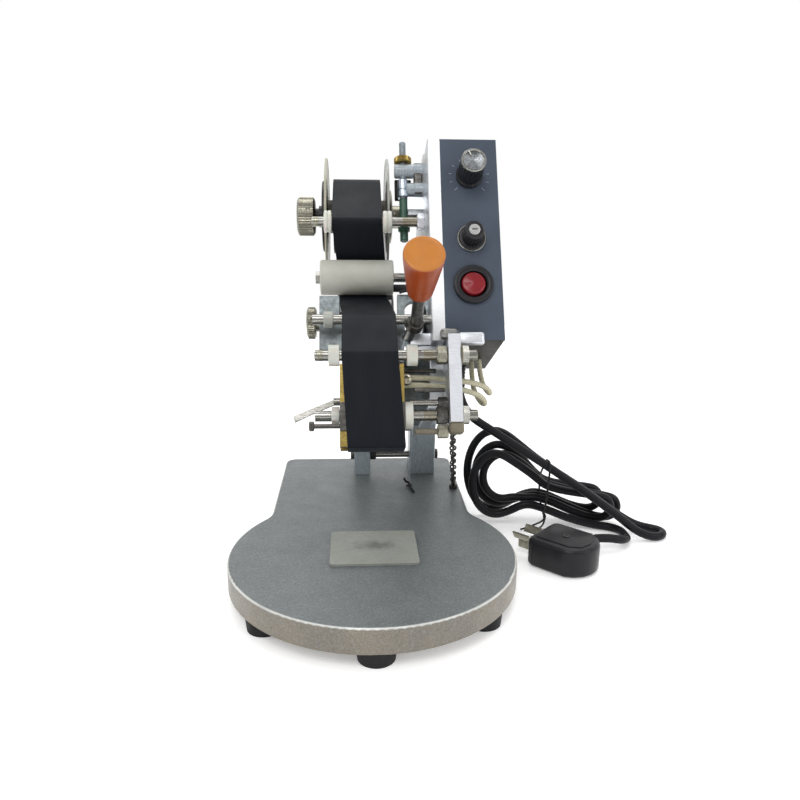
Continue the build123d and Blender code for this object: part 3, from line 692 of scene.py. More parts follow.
def knurl(teeth, depth, start, end):
    """Shape for lathe: teeth between two places along the piece."""

    def shape(angle, along, radius):
        if not start < along < end:
            return radius
        return radius + depth * math.cos(teeth * angle)

    return shape


def hexagon(flats):
    """Shape for lathe: a hexagon of that width across flats, its corners cut by the turned radius."""

    def shape(angle, along, radius):
        corner = (angle + math.pi / 6) % (math.pi / 3) - math.pi / 6
        return min(radius, flats / 2 / math.cos(corner))

    return shape


def flutes(count, depth, power, start, end, least):
    """Shape for lathe: rounded grooves between two places along the piece, where it is wider than least."""

    def shape(angle, along, radius):
        if start < along < end and radius > least:
            return radius - depth * (0.5 + 0.5 * math.cos(count * angle)) ** power
        return radius

    return shape


def moved(start, places):
    """Places of a profile, counted from start along the piece."""
    return [(start + along, radius) for along, radius in places]


def ring(name, profile, place, look, body, steps=48):
    """Turned piece with a bore, lying across the head."""
    return lathe(name, profile, head(0, *place), RIGHT, look, body, steps, None, UP, True)


def nut(name, origin, flats, height, bore, look):
    """Chamfered hexagon nut on a bar that lies across the head."""
    corner, rim = flats / 2 / math.cos(math.pi / 6), flats / 2 * 0.97
    edge = (corner - rim) * 0.6
    profile = [(0.3, bore), (0, bore + 0.3), (0, rim), (edge, corner), (height - edge, corner),
               (height, rim)]
    profile += [(height, bore + 0.3), (height - 0.3, bore)]
    return lathe(name, profile, origin, RIGHT, look, "head", 72, hexagon(flats), UP * 0.3, True, smooth=25)


def thread(name, origin, axis, length, radius, look, pitch=0.8):
    """Threaded end: V grooves one pitch apart."""
    turns = int(length / pitch)
    profile = [(0, 0), (0, radius * 0.86)]
    for i in range(turns):
        profile += [((i + 0.25) * pitch, radius * 0.86), ((i + 0.6) * pitch, radius),
                    ((i + 0.8) * pitch, radius)]
    profile += [(length, radius * 0.8), (length, 0)]
    return lathe(name, profile, origin, axis, look, "head", 40, smooth=20)


def cap_screw(name, origin, axis, radius, height, look, body):
    """Socket-head screw with a hexagon socket."""
    socket = radius * 0.5
    profile = [(0, 0), (0, radius), (height - 0.3, radius), (height, radius - 0.3), (height, socket * 1.16)]
    profile += [(height - 0.1, socket * 1.1), (height * 0.4, socket * 1.1), (height * 0.4, 0)]

    def shape(angle, along, r):
        return hexagon(socket * 2)(angle, along, r) if r < socket * 1.15 else r

    return lathe(name, profile, origin, axis, look, body, 48, shape, smooth=25)


# ------------------------------------------------------------------ cord and plug
hank_turn = math.atan2(10, 110)
hank_x, hank_y = 93.0, 46.0
plug_centre = Vector((138.0, -31.5, 0)) * MM
plug_out = Vector((-1, 1, 0)).normalized()
plug_left = Vector((-1, -1, 0)).normalized()
PLUG_HALF_H = 11.0
CORD_R = 3.2
gland_x, gland_back, gland_u = 66.0, -79.5, 19.2


def hank(along, back, height):
    """A point of the hank: along it to the right, back from its middle, and height."""
    return Vector((
        hank_x + along * math.cos(hank_turn) + back * math.sin(hank_turn),
        hank_y - along * math.sin(hank_turn) + back * math.cos(hank_turn),
        height,
    )) * MM


def plug_point(out, left, height):
    return plug_centre + plug_out * (out * MM) + plug_left * (left * MM) + Vector((0, 0, height * MM))


def hank_turn_points(number, left, top, low, right, floor, width):
    """One turn: a tall loop at the left, through the tie, a flat loop at the right and back."""
    places = []
    for angle in range(90, 301, 35):
        a = math.radians(angle)
        places.append((left + width + width * math.cos(a), (top + low) / 2 + (top - low) / 2 * math.sin(a)))
    places += [(31, 19 + low * 0.15), (45, 23)]
    end_r = 10.0
    places.append((right - end_r - 15, floor + 3))
    for angle in range(-90, 91, 45):
        a = math.radians(angle)
        places.append((right - end_r + end_r * math.cos(a), floor + end_r + end_r * math.sin(a)))
    places += [(50, 31.5), (38, 42), (27.5, 54.5 - (73 - top) * 0.35)]
    first_back, pitch = 16.0, 7.2
    return [hank(s, first_back - pitch * (number + i / len(places)), h) for i, (s, h) in enumerate(places)]


def cord_route():
    route = [head(gland_x, gland_back, gland_u), head(gland_x, gland_back, gland_u - 12)]
    route += [Vector((70.5, 26.2, 102.5)) * MM, Vector((78.0, 29.3, 92.6)) * MM, hank_start]
    # down to the long fold on the floor, and back up to the first turn
    slope = [(18, -19.5, 73), (48, -22, 54.3), (76, -25, 36.0), (100, -27.5, 19.0), (112, -29.3, 9.6)]
    slope += [(120, -30.5, 5.4), (128.5, -30.5, 3.4), (135, -27.3, 3.4), (137.6, -21.6, 3.4),
              (135, -15.9, 3.4)]
    slope += [(128.5, -12.7, 3.4), (119, -12.6, 5.6), (108, -13.5, 11.6), (91, -13.5, 23.4), (70, -14, 38.5),
              (50, -13.5, 51), (36, -9.5, 60)]
    slope += [(25, -2, 67.5), (15, 7, 73.5)]
    route += [hank(*place) for place in slope]
    route += hank_turn_points(0, -15, 74, 5, 95, 8.5, 21)
    route += hank_turn_points(1, -9, 65, 13, 108, 3.8, 20)
    route += hank_turn_points(2, -3, 59, 20, 101, 6, 17)
    route += hank_turn_points(3, -12, 62.5, 9, 100, 4, 20)[:8]
    # out of the last turn, round the front of the hank and into the plug
    tail = [(45, -8.6, 17), (66, -9.6, 8.5), (86, -10.5, 3.8), (98, -12.5, 3.4), (105.5, -19, 3.4)]
    tail += [(105.5, -31, 4.6), (105, -40, 6.0), (98.5, -47.5, 8.4), (88.5, -49, 10.4)]
    route += [hank(*place) for place in tail]
    route += [plug_point(-4, -31, PLUG_HALF_H), plug_point(-4, -20, PLUG_HALF_H)]
    return route


hank_start = hank(-1.6, -18, 85.2)
cord, cord_line = wire("mains_cord", cord_route(), CORD_R, "cord_rubber", rings=5,
                       stands_for=("cord", "cord_hank", "cord_tail"))
relief_end = next(i for i in range(len(cord_line)) if line_length(cord_line[: i + 1]) > 14 * MM)
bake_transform(cord)


def tube_along(name, line, radii, look, body, steps=32, stands_for=()):
    """Round piece round a line of points, with one radius for each point."""
    verts, faces = [], []
    side = None
    for i, point in enumerate(line):
        ahead = (line[min(i + 1, len(line) - 1)] - line[max(i - 1, 0)]).normalized()
        side = (side - ahead * side.dot(ahead)).normalized() if side else ahead.orthogonal().normalized()
        other = ahead.cross(side)
        for k in range(steps):
            angle = 2 * math.pi * k / steps
            verts.append(point + (side * math.cos(angle) + other * math.sin(angle)) * (radii[i] * MM))
    for i in range(len(line) - 1):
        for k in range(steps):
            a, b = i * steps + k, i * steps + (k + 1) % steps
            faces.append((a, b, b + steps, a + steps))
    faces += [tuple(range(steps)), tuple(range(len(verts) - steps, len(verts)))]
    return finish_mesh(make_mesh(name, verts, faces), look, body, stands_for, 30)


def make_relief():
    """Ribbed taper round the cord, from its nut under the control box."""
    top = head(gland_x, gland_back, box_u)
    line = [top + (cord_line[0] - top) * (k / 8) for k in range(8)] + cord_line[: relief_end + 1]
    fine = [line[0]]
    for point in line[1:]:
        steps = max(1, round((point - fine[-1]).length / (0.35 * MM)))
        fine += [fine[-1].lerp(point, (k + 1) / steps) for k in range(steps)]
    radii, gone = [], 0.0
    for i, point in enumerate(fine):
        gone += (point - fine[i - 1]).length / MM if i else 0.0
        cone = 6.3 - 2.2 * gone / 22
        ribbed = cone - 0.45 * (math.sin(gone * 2 * math.pi / 2.4) > 0.2)
        radii.append(6.6 if gone < 2.6 else ribbed)
    return tube_along("cord_relief", fine, radii, "black_plastic", "head", 40, ("strain_relief",))


def make_plug():
    """Moulded plug lying on its side: rounded body, cord boot, three flat pins with white sleeves."""
    half = [(21, 15.5), (19, 18.5), (15.5, 20), (-10, 20), (-16.5, 16.5), (-21.5, 10.5), (-24, 4)]
    outline = half + [(out, -left) for out, left in reversed(half)]
    low = plug_centre + UPRIGHT * (0.4 * MM)
    parts = [outline_block("plug_body", outline, low, plug_out, plug_left, 2 * PLUG_HALF_H - 0.8, 3.4,
                           "black_plastic", "base", ("plug",))]
    boot = [(-4, 0), (-4, 6.4), (1, 6.4)]
    for k in range(4):
        boot += [(1.2 + 2.2 * k, 5.6 - 0.4 * k), (2.4 + 2.2 * k, 5.9 - 0.4 * k),
                 (3.2 + 2.2 * k, 5.9 - 0.4 * k)]
    boot += [(10.5, 4.1), (10.5, 0)]
    parts.append(lathe("plug_boot", boot, plug_point(-4, -20, PLUG_HALF_H), -plug_left, "black_plastic",
                       "base", 40))
    parts.append(outline_block("plug_lid", [(16, 14), (-9, 14), (-17, 9), (-19, 0), (-17, -9), (-9, -14),
                                            (16, -14)],
                               low + UPRIGHT * ((2 * PLUG_HALF_H - 1.0) * MM), plug_out, plug_left, 0.9, 0.4,
                               "black_plastic", "base"))
    parts.append(cap_screw("plug_screw", plug_point(0, 0, 2 * PLUG_HALF_H + 0.3), UPRIGHT, 2.6, 0.8,
                           "dark_steel", "base"))
    for number, (left, height, lean) in enumerate(((0, 5.2, 0), (-7.9, 14.6, 30), (7.9, 14.6, -30))):
        turned = math.radians(lean)
        wide = UPRIGHT * math.cos(turned) - plug_left * math.sin(turned)
        thin = plug_out.cross(wide)
        root = plug_point(21, left, height)
        parts.append(rounded_box(f"plug_pin_{number}", root + plug_out * (8.8 * MM), (plug_out, wide, thin),
                                 (18, 6.2, 1.6), 0.45, "nickel", "base", 3))
        parts.append(rounded_box(f"plug_sleeve_{number}", root + plug_out * (1.2 * MM),
                                 (plug_out, wide, thin),
                                 (4.4, 7.4, 2.9), 0.7, "white_plastic", "base", 3))
    return parts


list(make_plug())
make_relief()


def make_tie():
    """Thin wire tie round the middle of the hank, its ends twisted together in front."""
    tie_at = hank(46, 0, 0)
    along_dir = (hank(1, 0, 0) - hank(0, 0, 0)).normalized()
    back_dir = (hank(0, 1, 0) - hank(0, 0, 0)).normalized()
    crossings = []
    for a, b in zip(cord_line, cord_line[1:]):
        before, after = (a - tie_at).dot(along_dir), (b - tie_at).dot(along_dir)
        if before * after < 0:
            place = a.lerp(b, before / (before - after)) - tie_at
            crossings.append((place.dot(back_dir) / MM, place.z / MM))
    middle_w = sum(w for w, _ in crossings) / len(crossings)
    middle_h = sum(h for _, h in crossings) / len(crossings)
    loop = []
    for k in range(28):
        angle = 2 * math.pi * k / 28
        reach = max((w - middle_w) * math.cos(angle) + (h - middle_h) * math.sin(angle) for w,
                    h in crossings)
        loop.append((angle, reach + CORD_R + 1.2))
    points = []
    for k, (angle, reach) in enumerate(loop):
        next_angle, next_reach = loop[(k + 1) % len(loop)]
        turn = math.sin(next_angle - angle)
        w = (reach * math.sin(next_angle) - next_reach * math.sin(angle)) / turn
        h = (next_reach * math.cos(angle) - reach * math.cos(next_angle)) / turn
        points.append(tie_at + back_dir * ((middle_w + w) * MM) + UPRIGHT * ((middle_h + h) * MM))
    wire("hank_tie", points, 0.8, "rubber_black", "base", closed=True)
    foot = min(points, key=lambda p: (p - tie_at).dot(back_dir) + p.z)
    for number, side in enumerate((-1, 1)):
        ends = [foot, foot - back_dir * (3 * MM) + along_dir * (side * MM),
                foot - back_dir * (4.5 * MM) - UPRIGHT * (4 * MM)]
        ends.append(foot - back_dir * (6 * MM) - UPRIGHT * (9 * MM) + along_dir * (side * 5 - 7) * MM)
        ends.append(foot - back_dir * (7 * MM) - UPRIGHT * (11 * MM) + along_dir * (side * 6 - 13) * MM)
        wire(f"hank_tie_end_{number}", ends, 0.7, "rubber_black", "base")


make_tie()

# ------------------------------------------------------------------ floor and light
floor = make_mesh("floor", [(-1.6, -1.5, 0), (1.6, -1.5, 0), (1.6, 1.1, 0), (-1.6, 1.1, 0)], [(0, 1, 2, 3)])
floor_look = Nodes("floor")
floor_look.color((0.93, 0.93, 0.93))
floor_look.rough(0.7)
floor_look.set(Emission_Color=(1, 1, 1, 1), Emission_Strength=0.28, Specular_IOR_Level=0.1)
floor.data.materials.append(floor_look.material)


middle = Vector((0, 0, 0.14))
for name, place, size, watts in (("key", (-0.45, -1.1, 1.5), (0.9, 0.9), 12),
                                 ("fill", (1.3, -0.9, 0.8), (0.8, 1.2), 6),
                                 ("top", (0.1, 0.5, 1.6), (1.4, 0.8), 8)):
    light = bpy.data.lights.new(name, "AREA")
    light.shape = "RECTANGLE"
    light.size, light.size_y = size
    light.energy = watts
    aim = (middle - Vector(place)).to_track_quat("-Z", "Y").to_matrix().to_4x4()
    add_object(name, light).matrix_world = Matrix.Translation(Vector(place)) @ aim
world = bpy.data.worlds.new("studio")
world.use_nodes = True
sky = world.node_tree
background = sky.nodes["Background"]
direction = sky.nodes.new("ShaderNodeTexCoord")
parts = sky.nodes.new("ShaderNodeSeparateXYZ")
ramp = sky.nodes.new("ShaderNodeMapRange")
sky.links.new(direction.outputs["Generated"], parts.inputs["Vector"])
sky.links.new(parts.outputs["Y"], ramp.inputs["Value"])
# paler behind the object than behind the camera, so that metal has something to reflect
for key, value in (("From Min", -0.5), ("From Max", 0.35), ("To Min", 0.55), ("To Max", 1.0)):
    ramp.inputs[key].default_value = value
background.inputs["Color"].default_value = (1, 1, 1, 1)
sky.links.new(ramp.outputs["Result"], background.inputs["Strength"])
bpy.context.scene.world = world
bpy.context.scene.view_settings.view_transform = "Standard"

# ------------------------------------------------------------------ reels and knobs
BORE = 3.6
FLANGE_T = 1.8


def run(start, end, radius, step=0.6):
    """Profile points along a straight stretch, close enough for a knurl."""
    count = max(1, round((end - start) / step))
    return [(start + (end - start) * i / count, radius) for i in range(count + 1)]


def knob(name, node, place, body):
    """Knurled reel knob with a dished face, a set screw, and its shaft through the side plate."""
    left, right = x_span(node)
    knob_end = left + (14.2 if body == "upper_reel" else 8.0)
    radius = radius_of(node) - 0.4
    at = head(0, *place)
    profile = [(left + 1.4, 0), (left + 1.4, radius * 0.45), (left + 0.2, radius * 0.55),
               (left, radius - 2.4)]
    profile += [(left + 0.5, radius - 1.1), (left + 1.3, radius - 0.2)]
    profile += run(left + 1.5, knob_end - 1.5, radius)
    profile += [(knob_end - 1.2, radius - 0.2), (knob_end - 0.4, radius - 1.2), (knob_end, radius - 2.6),
                (knob_end, 0)]
    grip = knurl(42, 0.32, left + 1.4, knob_end - 1.4)
    lathe(name, profile, at, RIGHT, "nickel", body, 210, grip, UP, stands_for=(node,), smooth=24)
    shaft = [(knob_end - 1, 0), (knob_end - 1, 3.4), (right - 0.6, 3.4), (right, 2.8), (right, 0)]
    lathe(name + "_shaft", shaft, at, RIGHT, "polished_steel", body, 40)
    cap_screw(name + "_set_screw", head(left + (knob_end - left) * 0.62,
                                        *place) - BACK * ((radius - 0.5) * MM),
              FRONT, 1.6, 0.7, "dark_steel", body)
    return knob_end


def flange(name, place, x0, x1, outer, look, body, stands_for=()):
    """Thin moulded reel flange: rolled rim, a raised ring near its hub and a shallow step."""
    mid = (x0 + x1) / 2
    profile = [(x0, BORE), (x0, outer * 0.36), (x0 - 0.25, outer * 0.38), (x0 - 0.25, outer * 0.43)]
    profile += [(x0, outer * 0.45), (x0 + 0.1, outer * 0.7), (x0 + 0.4, outer * 0.72),
                (x0 + 0.4, outer - 1.6)]
    profile += [(x0, outer - 1.1), (x0 + 0.1, outer - 0.3), (mid, outer), (x1 - 0.1, outer - 0.3)]
    profile += [(x1, outer - 1.1), (x1 - 0.3, outer - 1.6), (x1 - 0.3, outer * 0.5), (x1, outer * 0.45),
                (x1, BORE)]
    lathe(name, profile, head(0, *place), RIGHT, look, body, 96, None, UP, True, stands_for, 28)


def spool(which, place, left_look, core_r):
    """A reel's two flanges and the core between them. Gives back where the spool starts and ends."""
    node, body = which + "_spool", which + "_reel"
    left, right = x_span(node)
    outer = radius_of(node)
    flange(which + "_flange_left", place, left, left + FLANGE_T, outer, left_look, body, (node,))
    flange(which + "_flange_right", place, right - FLANGE_T, right, outer, "frosted", body)
    core = [(left + 1, BORE), (left + 1, core_r), (right - 1, core_r), (right - 1, BORE)]
    ring(which + "_core", core, place, "brown_fibre", body, 64)
    return left, right


upper_knob_end = knob("upper_knob_grip", "upper_knob", upper_reel, "upper_reel")
lower_knob_end = knob("lower_knob_grip", "lower_knob", lower_reel, "lower_reel")

left, right = spool("upper", upper_reel, "reel_plastic", 13)
brake = moved(left, [(-2.6, BORE), (-2.6, 26.8), (-2.2, 27.6), (-0.7, 27.6), (-0.3, 26.8), (-0.3, BORE)])
ring("upper_brake_disc", brake, upper_reel, "black_plastic", "upper_reel", 80)
neck = [(upper_knob_end - 0.2, BORE), (upper_knob_end - 0.2, 6.4), (-39.2, 6.4), (-39.2, 8.4)]
ring("upper_neck", neck + moved(left, [(-2.6, 8.4), (-2.6, BORE)]), upper_reel, "black_plastic",
     "upper_reel")
hub = moved(right, [(0.2, BORE), (0.2, 20.5), (1.0, 21.4), (2.6, 20.6), (3.4, 17), (3.4, 9), (9.5, 9),
                    (10, 8.4), (10, BORE)])
ring("upper_hub_disc", hub, upper_reel, "nickel", "upper_reel", 72)

left, right = spool("lower", lower_reel, "frosted", 9)
neck = [(lower_knob_end, BORE), (lower_knob_end, 7.0), (-34.5, 7.0), (-34.5, 5.2)]
ring("lower_neck", neck + moved(left, [(-0.2, 5.2), (-0.2, BORE)]), lower_reel, "nickel", "lower_reel")
ring("lower_neck_collar", [(-33.6, 5.3), (-33.6, 9.3), (-33, 9.9), (-28.6, 9.9), (-28, 9.3), (-28, 5.3)],
     lower_reel,
     "white_plastic", "lower_reel")

# ------------------------------------------------------------------ guides
ROD_R = 3.5


def collar(name, x0, x1, place, radius=8.0):
    """Set collar on a guide rod, with rounded rims and a groove."""
    mid = (x0 + x1) / 2
    profile = [(x0, 3.55), (x0, radius - 0.9), (x0 + 0.3, radius - 0.25), (x0 + 0.9, radius)]
    profile += [(mid - 0.6, radius), (mid - 0.3, radius - 0.45), (mid + 0.3, radius - 0.45),
                (mid + 0.6, radius)]
    profile += [(x1 - 0.9, radius), (x1 - 0.3, radius - 0.25), (x1, radius - 0.9), (x1, 3.55)]
    lathe(name, profile, head(0, *place), RIGHT, "white_plastic", "head", 56, None, UP, True, smooth=30)


collar("upper_guide_collar_left", -33.2, -27.7, guide_upper)
collar("upper_guide_collar_right", 9.8, 16.4, guide_upper)
# a second, thinner rod above the lower guide, and a screw and nut below it
second_rod = (guide_lower[0] - 1, guide_lower[1] + 8.2)
under = (guide_lower[0] - 1.0, guide_lower[1] - 10.8)
for name, start, place, flats, height, bore, look in (
        ("upper_guide", -5.2, guide_upper, 11.2, 5.2, ROD_R, "bare_aluminium"),
        ("front_guide", 1.5, guide_front, 10.8, 7.0, ROD_R, "nickel"),
        ("lower_guide", 1.2, guide_lower, 10.8, 7.4, ROD_R, "dark_steel"),
        ("second_rod", 2.4, second_rod, 6.8, 6.0, 2.1, "dark_steel"),
        ("under", 1.6, under, 8.4, 6.9, 0.5, "nickel")):
    nut(name + "_nut", head(plate_left + start, *place), flats, height, bore, look)
for name, place in (("front", guide_front), ("lower", guide_lower)):
    thread(name + "_guide_thread", head(63.1, *place), RIGHT, 5.6, 3.62, "nickel")
    thread(name + "_guide_inner_thread", head(33.0, *place), RIGHT, 8.4, 3.62, "brass")
    ring(name + "_guide_washer", [(57.3, 3.6), (57.3, 7.4), (57.6, 7.7), (58.3, 7.7), (58.6, 7.4),
                                  (58.6, 3.6)], place,
         "brown_fibre", "head")
thread("upper_guide_thread", head(24.0, *guide_upper), RIGHT, 11.0, 3.62, "brass")
for name, x, place in (("upper", -42, guide_upper), ("front", -37, guide_front)):
    lathe(name + "_guide_end", [(x - 0.3, 0), (x - 0.3, 2.6), (x + 0.3, 3.2), (x + 1.2, 3.6), (x + 5, 3.6),
                                (x + 5, 0)],
          head(0, *place), RIGHT, "nickel", "head", 40)
for name, profile, place, look in (
        ("second_rod", [(24, 0), (24, 1.7), (24.5, 2.1), (49.0, 2.1), (49.0, 0)], second_rod,
         "polished_steel"),
        ("under_screw", [(27, 0), (27, 1.5), (27.5, 1.9), (41.5, 1.9), (41.5, 2.4), (48.9, 2.4), (48.9, 0)],
         under,
         "brown_fibre")):
    lathe(name, profile, head(0, *place), RIGHT, look, "head", 32)
adjust = (26.0, -101.5)
for name, place, sizes, radius, look in (
        ("link_foot", (53.4, -152.6, -33.2), (9.0, 9.6, 7.4), 1.6, "brown_fibre"),
        ("link_tab", (65.2, -149.6, 27.2), (18.4, 5.4, 8.6), 2.0, "bare_aluminium"),
        # a darker grey block over the link plate's rounded top stands in for the shade on that top
        ("link_top_shade_block", (50.4, -152.6, 29.4), (11.6, 8.0, 7.0), 2.6, "steel_grey"),
        ("front_bracket", (33.4, -134.5, 21.5), (24.0, 7.0, 8.0), 0.9, "bare_aluminium"),
        ("heater_strap", (31.5, -136.0, 8.6), (23.0, 4.0, 2.6), 0.5, "dark_steel"),
        ("front_bar", (36.2, -129.5, 32.0), (19.6, 5.0, 9.0), 0.8, "bare_aluminium"),
        ("plate_bridge", (37.0, -150.2, -7.6), (20.0, 2.4, 2.6), 0.6, "dark_steel"),
        ("adjuster_plate", (37.2, adjust[1], 165.5), (6.2, 9.4, 25), 1.0, "dark_steel"),
        ("adjuster_clip", (26.0, adjust[1] + 4.8, 160.0), (12.6, 3.2, 16.5), 0.8, "rubber_black"),
        ("adjuster_block", (34.6, adjust[1] - 0.6, 145.0), (12.4, 8.6, 11.0), 0.9, "bare_aluminium")):
    rounded_box(name, head(*place), (RIGHT, BACK, UP), sizes, radius, look, "head")
cap_screw("heater_bolt", head(22.2, -147.4, -0.6), (FRONT + UP * 0.2).normalized(), 3.6, 3.4, "nickel",
          "head")
for number, place in enumerate(((-30, 150), (-30, 60), (-30, 14), (-60, 0), (-95, 0))):
    cap_screw(f"plate_screw_{number}", head(plate_right - 0.2, *place), RIGHT, 4.0, 3.6, "dark_steel",
              "head")
for number, place in enumerate(((-137, 40), (-137, 162), (-73, 40), (-73, 162))):
    cap_screw(f"box_screw_{number}", head(box_right - 0.1, *place), RIGHT, 2.4, 1.4, "nickel", "head")

# ------------------------------------------------------------------ control panel
KNOB_U, FUSE_U, SWITCH_U = 145.7, 99.7, 66.0
PANEL_BACK = -145.8


def on_panel(out, up):
    """A point in front of the control panel's face, out from it."""
    return head(box_x, PANEL_BACK, up) + FRONT * (out * MM)


dial = on_panel(0.6, KNOB_U)
lathe("temp_knob_body", [(0, 3.3), (0, 9.1), (0.4, 9.4), (2.4, 9.4), (3.0, 9.1), (3.3, 8.8), (3.7, 8.6),
                         *run(4, 20.5, 8.6, 1.0),
                         (20.8, 8.4), (21.4, 8.2), (21.4, 7.0), (21.0, 6.9), (21.0, 0)],
      dial, FRONT, "black_plastic", "heat_dial", 208, flutes(26, 0.45, 2, 3.9, 20.6, 7), UP,
      stands_for=("temp_knob",), smooth=25)
lathe("temp_knob_rim", [(20.6, 7.2), (20.6, 8.45), (21.9, 8.45), (22.2, 8.1), (22.2, 7.6), (21.8, 7.1)],
      dial, FRONT, "polished_steel", "heat_dial", 96, None, UP, True)
face = [(21.1, 7.3)] + [(21.15 + 0.12 * (i % 2) + 0.5 * i / 24,
                         7.3 * (1 - i / 24)) for i in range(24)] + [(21.6, 0)]
lathe("temp_knob_face", face, dial, FRONT, "spun_face", "heat_dial", 96, None, UP)
rounded_box("temp_knob_pointer", dial + FRONT * (21.9 * MM) + (UP * 5.4 - RIGHT * 2.6) * MM,
            ((RIGHT * 0.9 + UP * 0.43).normalized(), FRONT, (UP * 0.9 - RIGHT * 0.43).normalized()),
            (0.8, 0.7, 3.4), 0.2, "white_plastic", "heat_dial")
lathe("temp_shaft", [(-10, 0), (-10, 3.2), (0.2, 3.2), (0.2, 0)], dial, FRONT, "polished_steel", "heat_dial",
      32)
ticks = []
for number in range(11):
    angle = math.radians(225 - 27 * number)
    spoke = RIGHT * math.cos(angle) + UP * math.sin(angle)
    ticks.append(rounded_box(f"dial_tick_{number}", on_panel(0.05, KNOB_U) + spoke * (13.4 * MM),
                             (spoke, FRONT, spoke.cross(FRONT)), (2.0 if number % 5 else 3.0, 0.16, 0.35),
                             0.04, "tick_paint",
                             "head", 1))
join("dial_ticks", ticks, "head")

fuse = on_panel(0.4, FUSE_U)
lathe("fuse_flange", [(0, 5.9), (0, 9.6), (0.9, 9.6), (1.5, 9.0), (2.2, 8.4), (2.4, 7.6), (2.4, 5.9)], fuse,
      FRONT,
      "black_plastic", "fuse", 64, None, UP, True)
lathe("fuse_ring", [(0.5, 9.3), (0.5, 9.95), (0.9, 10.0), (1.3, 9.7), (1.3, 9.2)], fuse, FRONT,
      "polished_steel",
      "fuse", 80, None, UP, True)


lathe("fuse_body", [(-24, 0), (-24, 5.8), (2.4, 5.8), (2.4, 6.9), *run(2.8, 12.0, 7.0, 1.0), (13.2, 6.6),
                    (14.2, 5.7),
                    (14.3, 4.2), (13.7, 3.9), (13.7, 0)],
      fuse, FRONT, "black_plastic", "fuse", 160, flutes(20, 0.4, 3, 2.6, 12.2, 6.2), UP,
      stands_for=("fuse_cap",), smooth=25)
lathe("fuse_tip", [(13.2, 0), (13.2, 3.95), (14.4, 3.8), (14.9, 3.2), (15.0, 2.2), (14.8, 1.2), (14.8, 0)],
      fuse, FRONT,
      "clear_cap", "fuse", 48, None, UP)
rounded_box("fuse_slot", fuse + FRONT * (14.6 * MM), (RIGHT, FRONT, UP), (4.4, 0.7, 1.0), 0.2, "dark_steel",
            "fuse")

lathe("rocker_ring", [(2.2, 9.2), (2.2, 12.9), (2.7, 13.2), (3.3, 12.7), (3.5, 11.6), (3.3, 10.4),
                      (2.8, 9.5)],
      on_panel(0, SWITCH_U), FRONT, "black_plastic", "head", 96, None, UP, True)


def make_rocker():
    """Round rocker: two faces that meet in a shallow crease, leaning towards the pressed side."""
    lean = math.radians(7)
    out = (FRONT * math.cos(lean) + UP * math.sin(lean)).normalized()
    up = RIGHT.cross(out)
    if up.dot(UP) < 0:
        up = -up
    centre = head(box_x, PANEL_BACK + 2.0, SWITCH_U)
    rim = [(-6, 0), (-6, 4.2), (0.4, 4.2), (0.4, 8.2), (3.6, 8.2), (4.4, 8.05), (4.9, 7.7)]
    rings = [(5.2 + 0.08 * i, 7.3 - 0.73 * i) for i in range(10)] + [(6.0, 0)]
    rocker = lathe("rocker_cap", rim + rings, centre, out, "red_plastic", "rocker", 96, None, up,
                   stands_for=("power_button",))
    for vertex in rocker.data.vertices:
        place = vertex.co - centre
        if place.dot(out) > 4 * MM:
            vertex.co += out * (0.055 * abs(place.dot(up)) - 0.0004)
    return rocker


make_rocker()

lathe("middle_collar", [(0, 2.6), (0, 5.2), (0.5, 5.7), (6.0, 5.7), (6.5, 5.2), (6.5, 2.6)],
      head(-32.3, *guide_middle), RIGHT,
      "frosted", "head")

# ------------------------------------------------------------------ handle
GRIP_LEN = 42.0
grip_root = handle_tip - handle_dir * (GRIP_LEN * MM)
profile = [(0.6, 4.1), (0.0, 5.0), (0.1, 6.9), (0.8, 7.9)]
profile += [(1.4 + i * 2.9, 8.1 + 4.1 * (i / 12) ** 0.9) for i in range(13)]
profile += [(38.5, 12.3), (40.6, 12.4), (41.5, 12.15), (42.0, 11.5), (41.9, 10.6), (41.7, 9.5), (41.9, 6.0),
            (42.0, 2.5), (42.0, 0)]
lathe("grip", profile, grip_root, handle_dir, "grip_plastic", "head", 96, stands_for=("handle_grip",),
      smooth=50)
lathe("grip_ferrule", [(-3.6, 4.05), (-3.6, 5.2), (-3.2, 5.6), (-0.4, 5.6), (0.1, 5.2), (0.1, 4.05)],
      grip_root, handle_dir,
      "dark_steel", "head", 48, None, None, True)
neck = head(25.5, -130.0, 33.5)
lathe("handle_collar", [(-3.0, 4.05), (-3.0, 5.6), (-2.4, 6.1), (2.4, 6.1), (3.0, 5.6), (3.0, 4.05)],
      handle_bend + (neck - handle_bend) * 0.25, (neck - handle_bend), "dark_steel", "head", 48, None, None,
      True)
link, _ = wire("handle_link", [head(25.5, -127.0, 33.5), head(22.6, -129.5, 28.6), head(20.4, -132.5, 21.0),
                               head(18.6, -133.5, 15.0)], 3.1, "cast_aluminium", "head")
# a thin black tube along the arch's outline stands in for the shadow in the gap beside it
ends = [head(37.8, -119, 36), head(38.6, -122, 52), head(36.6, -122.5, 62), head(31.0, -122.5, 69.5),
        head(24.5, -121.5, 71),
        head(20.5, -120, 69.5)]
wire("arch_shade_line", ends, 1.0, "rubber_black", "head")

# ------------------------------------------------------------------ ribbon
def tangent(first, second):
    """Straight run between two round guides, each (back, up, radius, side it is passed on)."""
    (b0, u0, r0, s0), (b1, u1, r1, s1) = first, second
    db, du = b1 - b0, u1 - u0
    span = math.hypot(db, du)
    k = s1 * r1 - s0 * r0
    h = math.sqrt(span**2 - k**2)
    tb, tu = (h * db + k * du) / span**2, (h * du - k * db) / span**2
    return (b0 + s0 * r0 * tu, u0 - s0 * r0 * tb), (b1 + s1 * r1 * tu, u1 - s1 * r1 * tb)


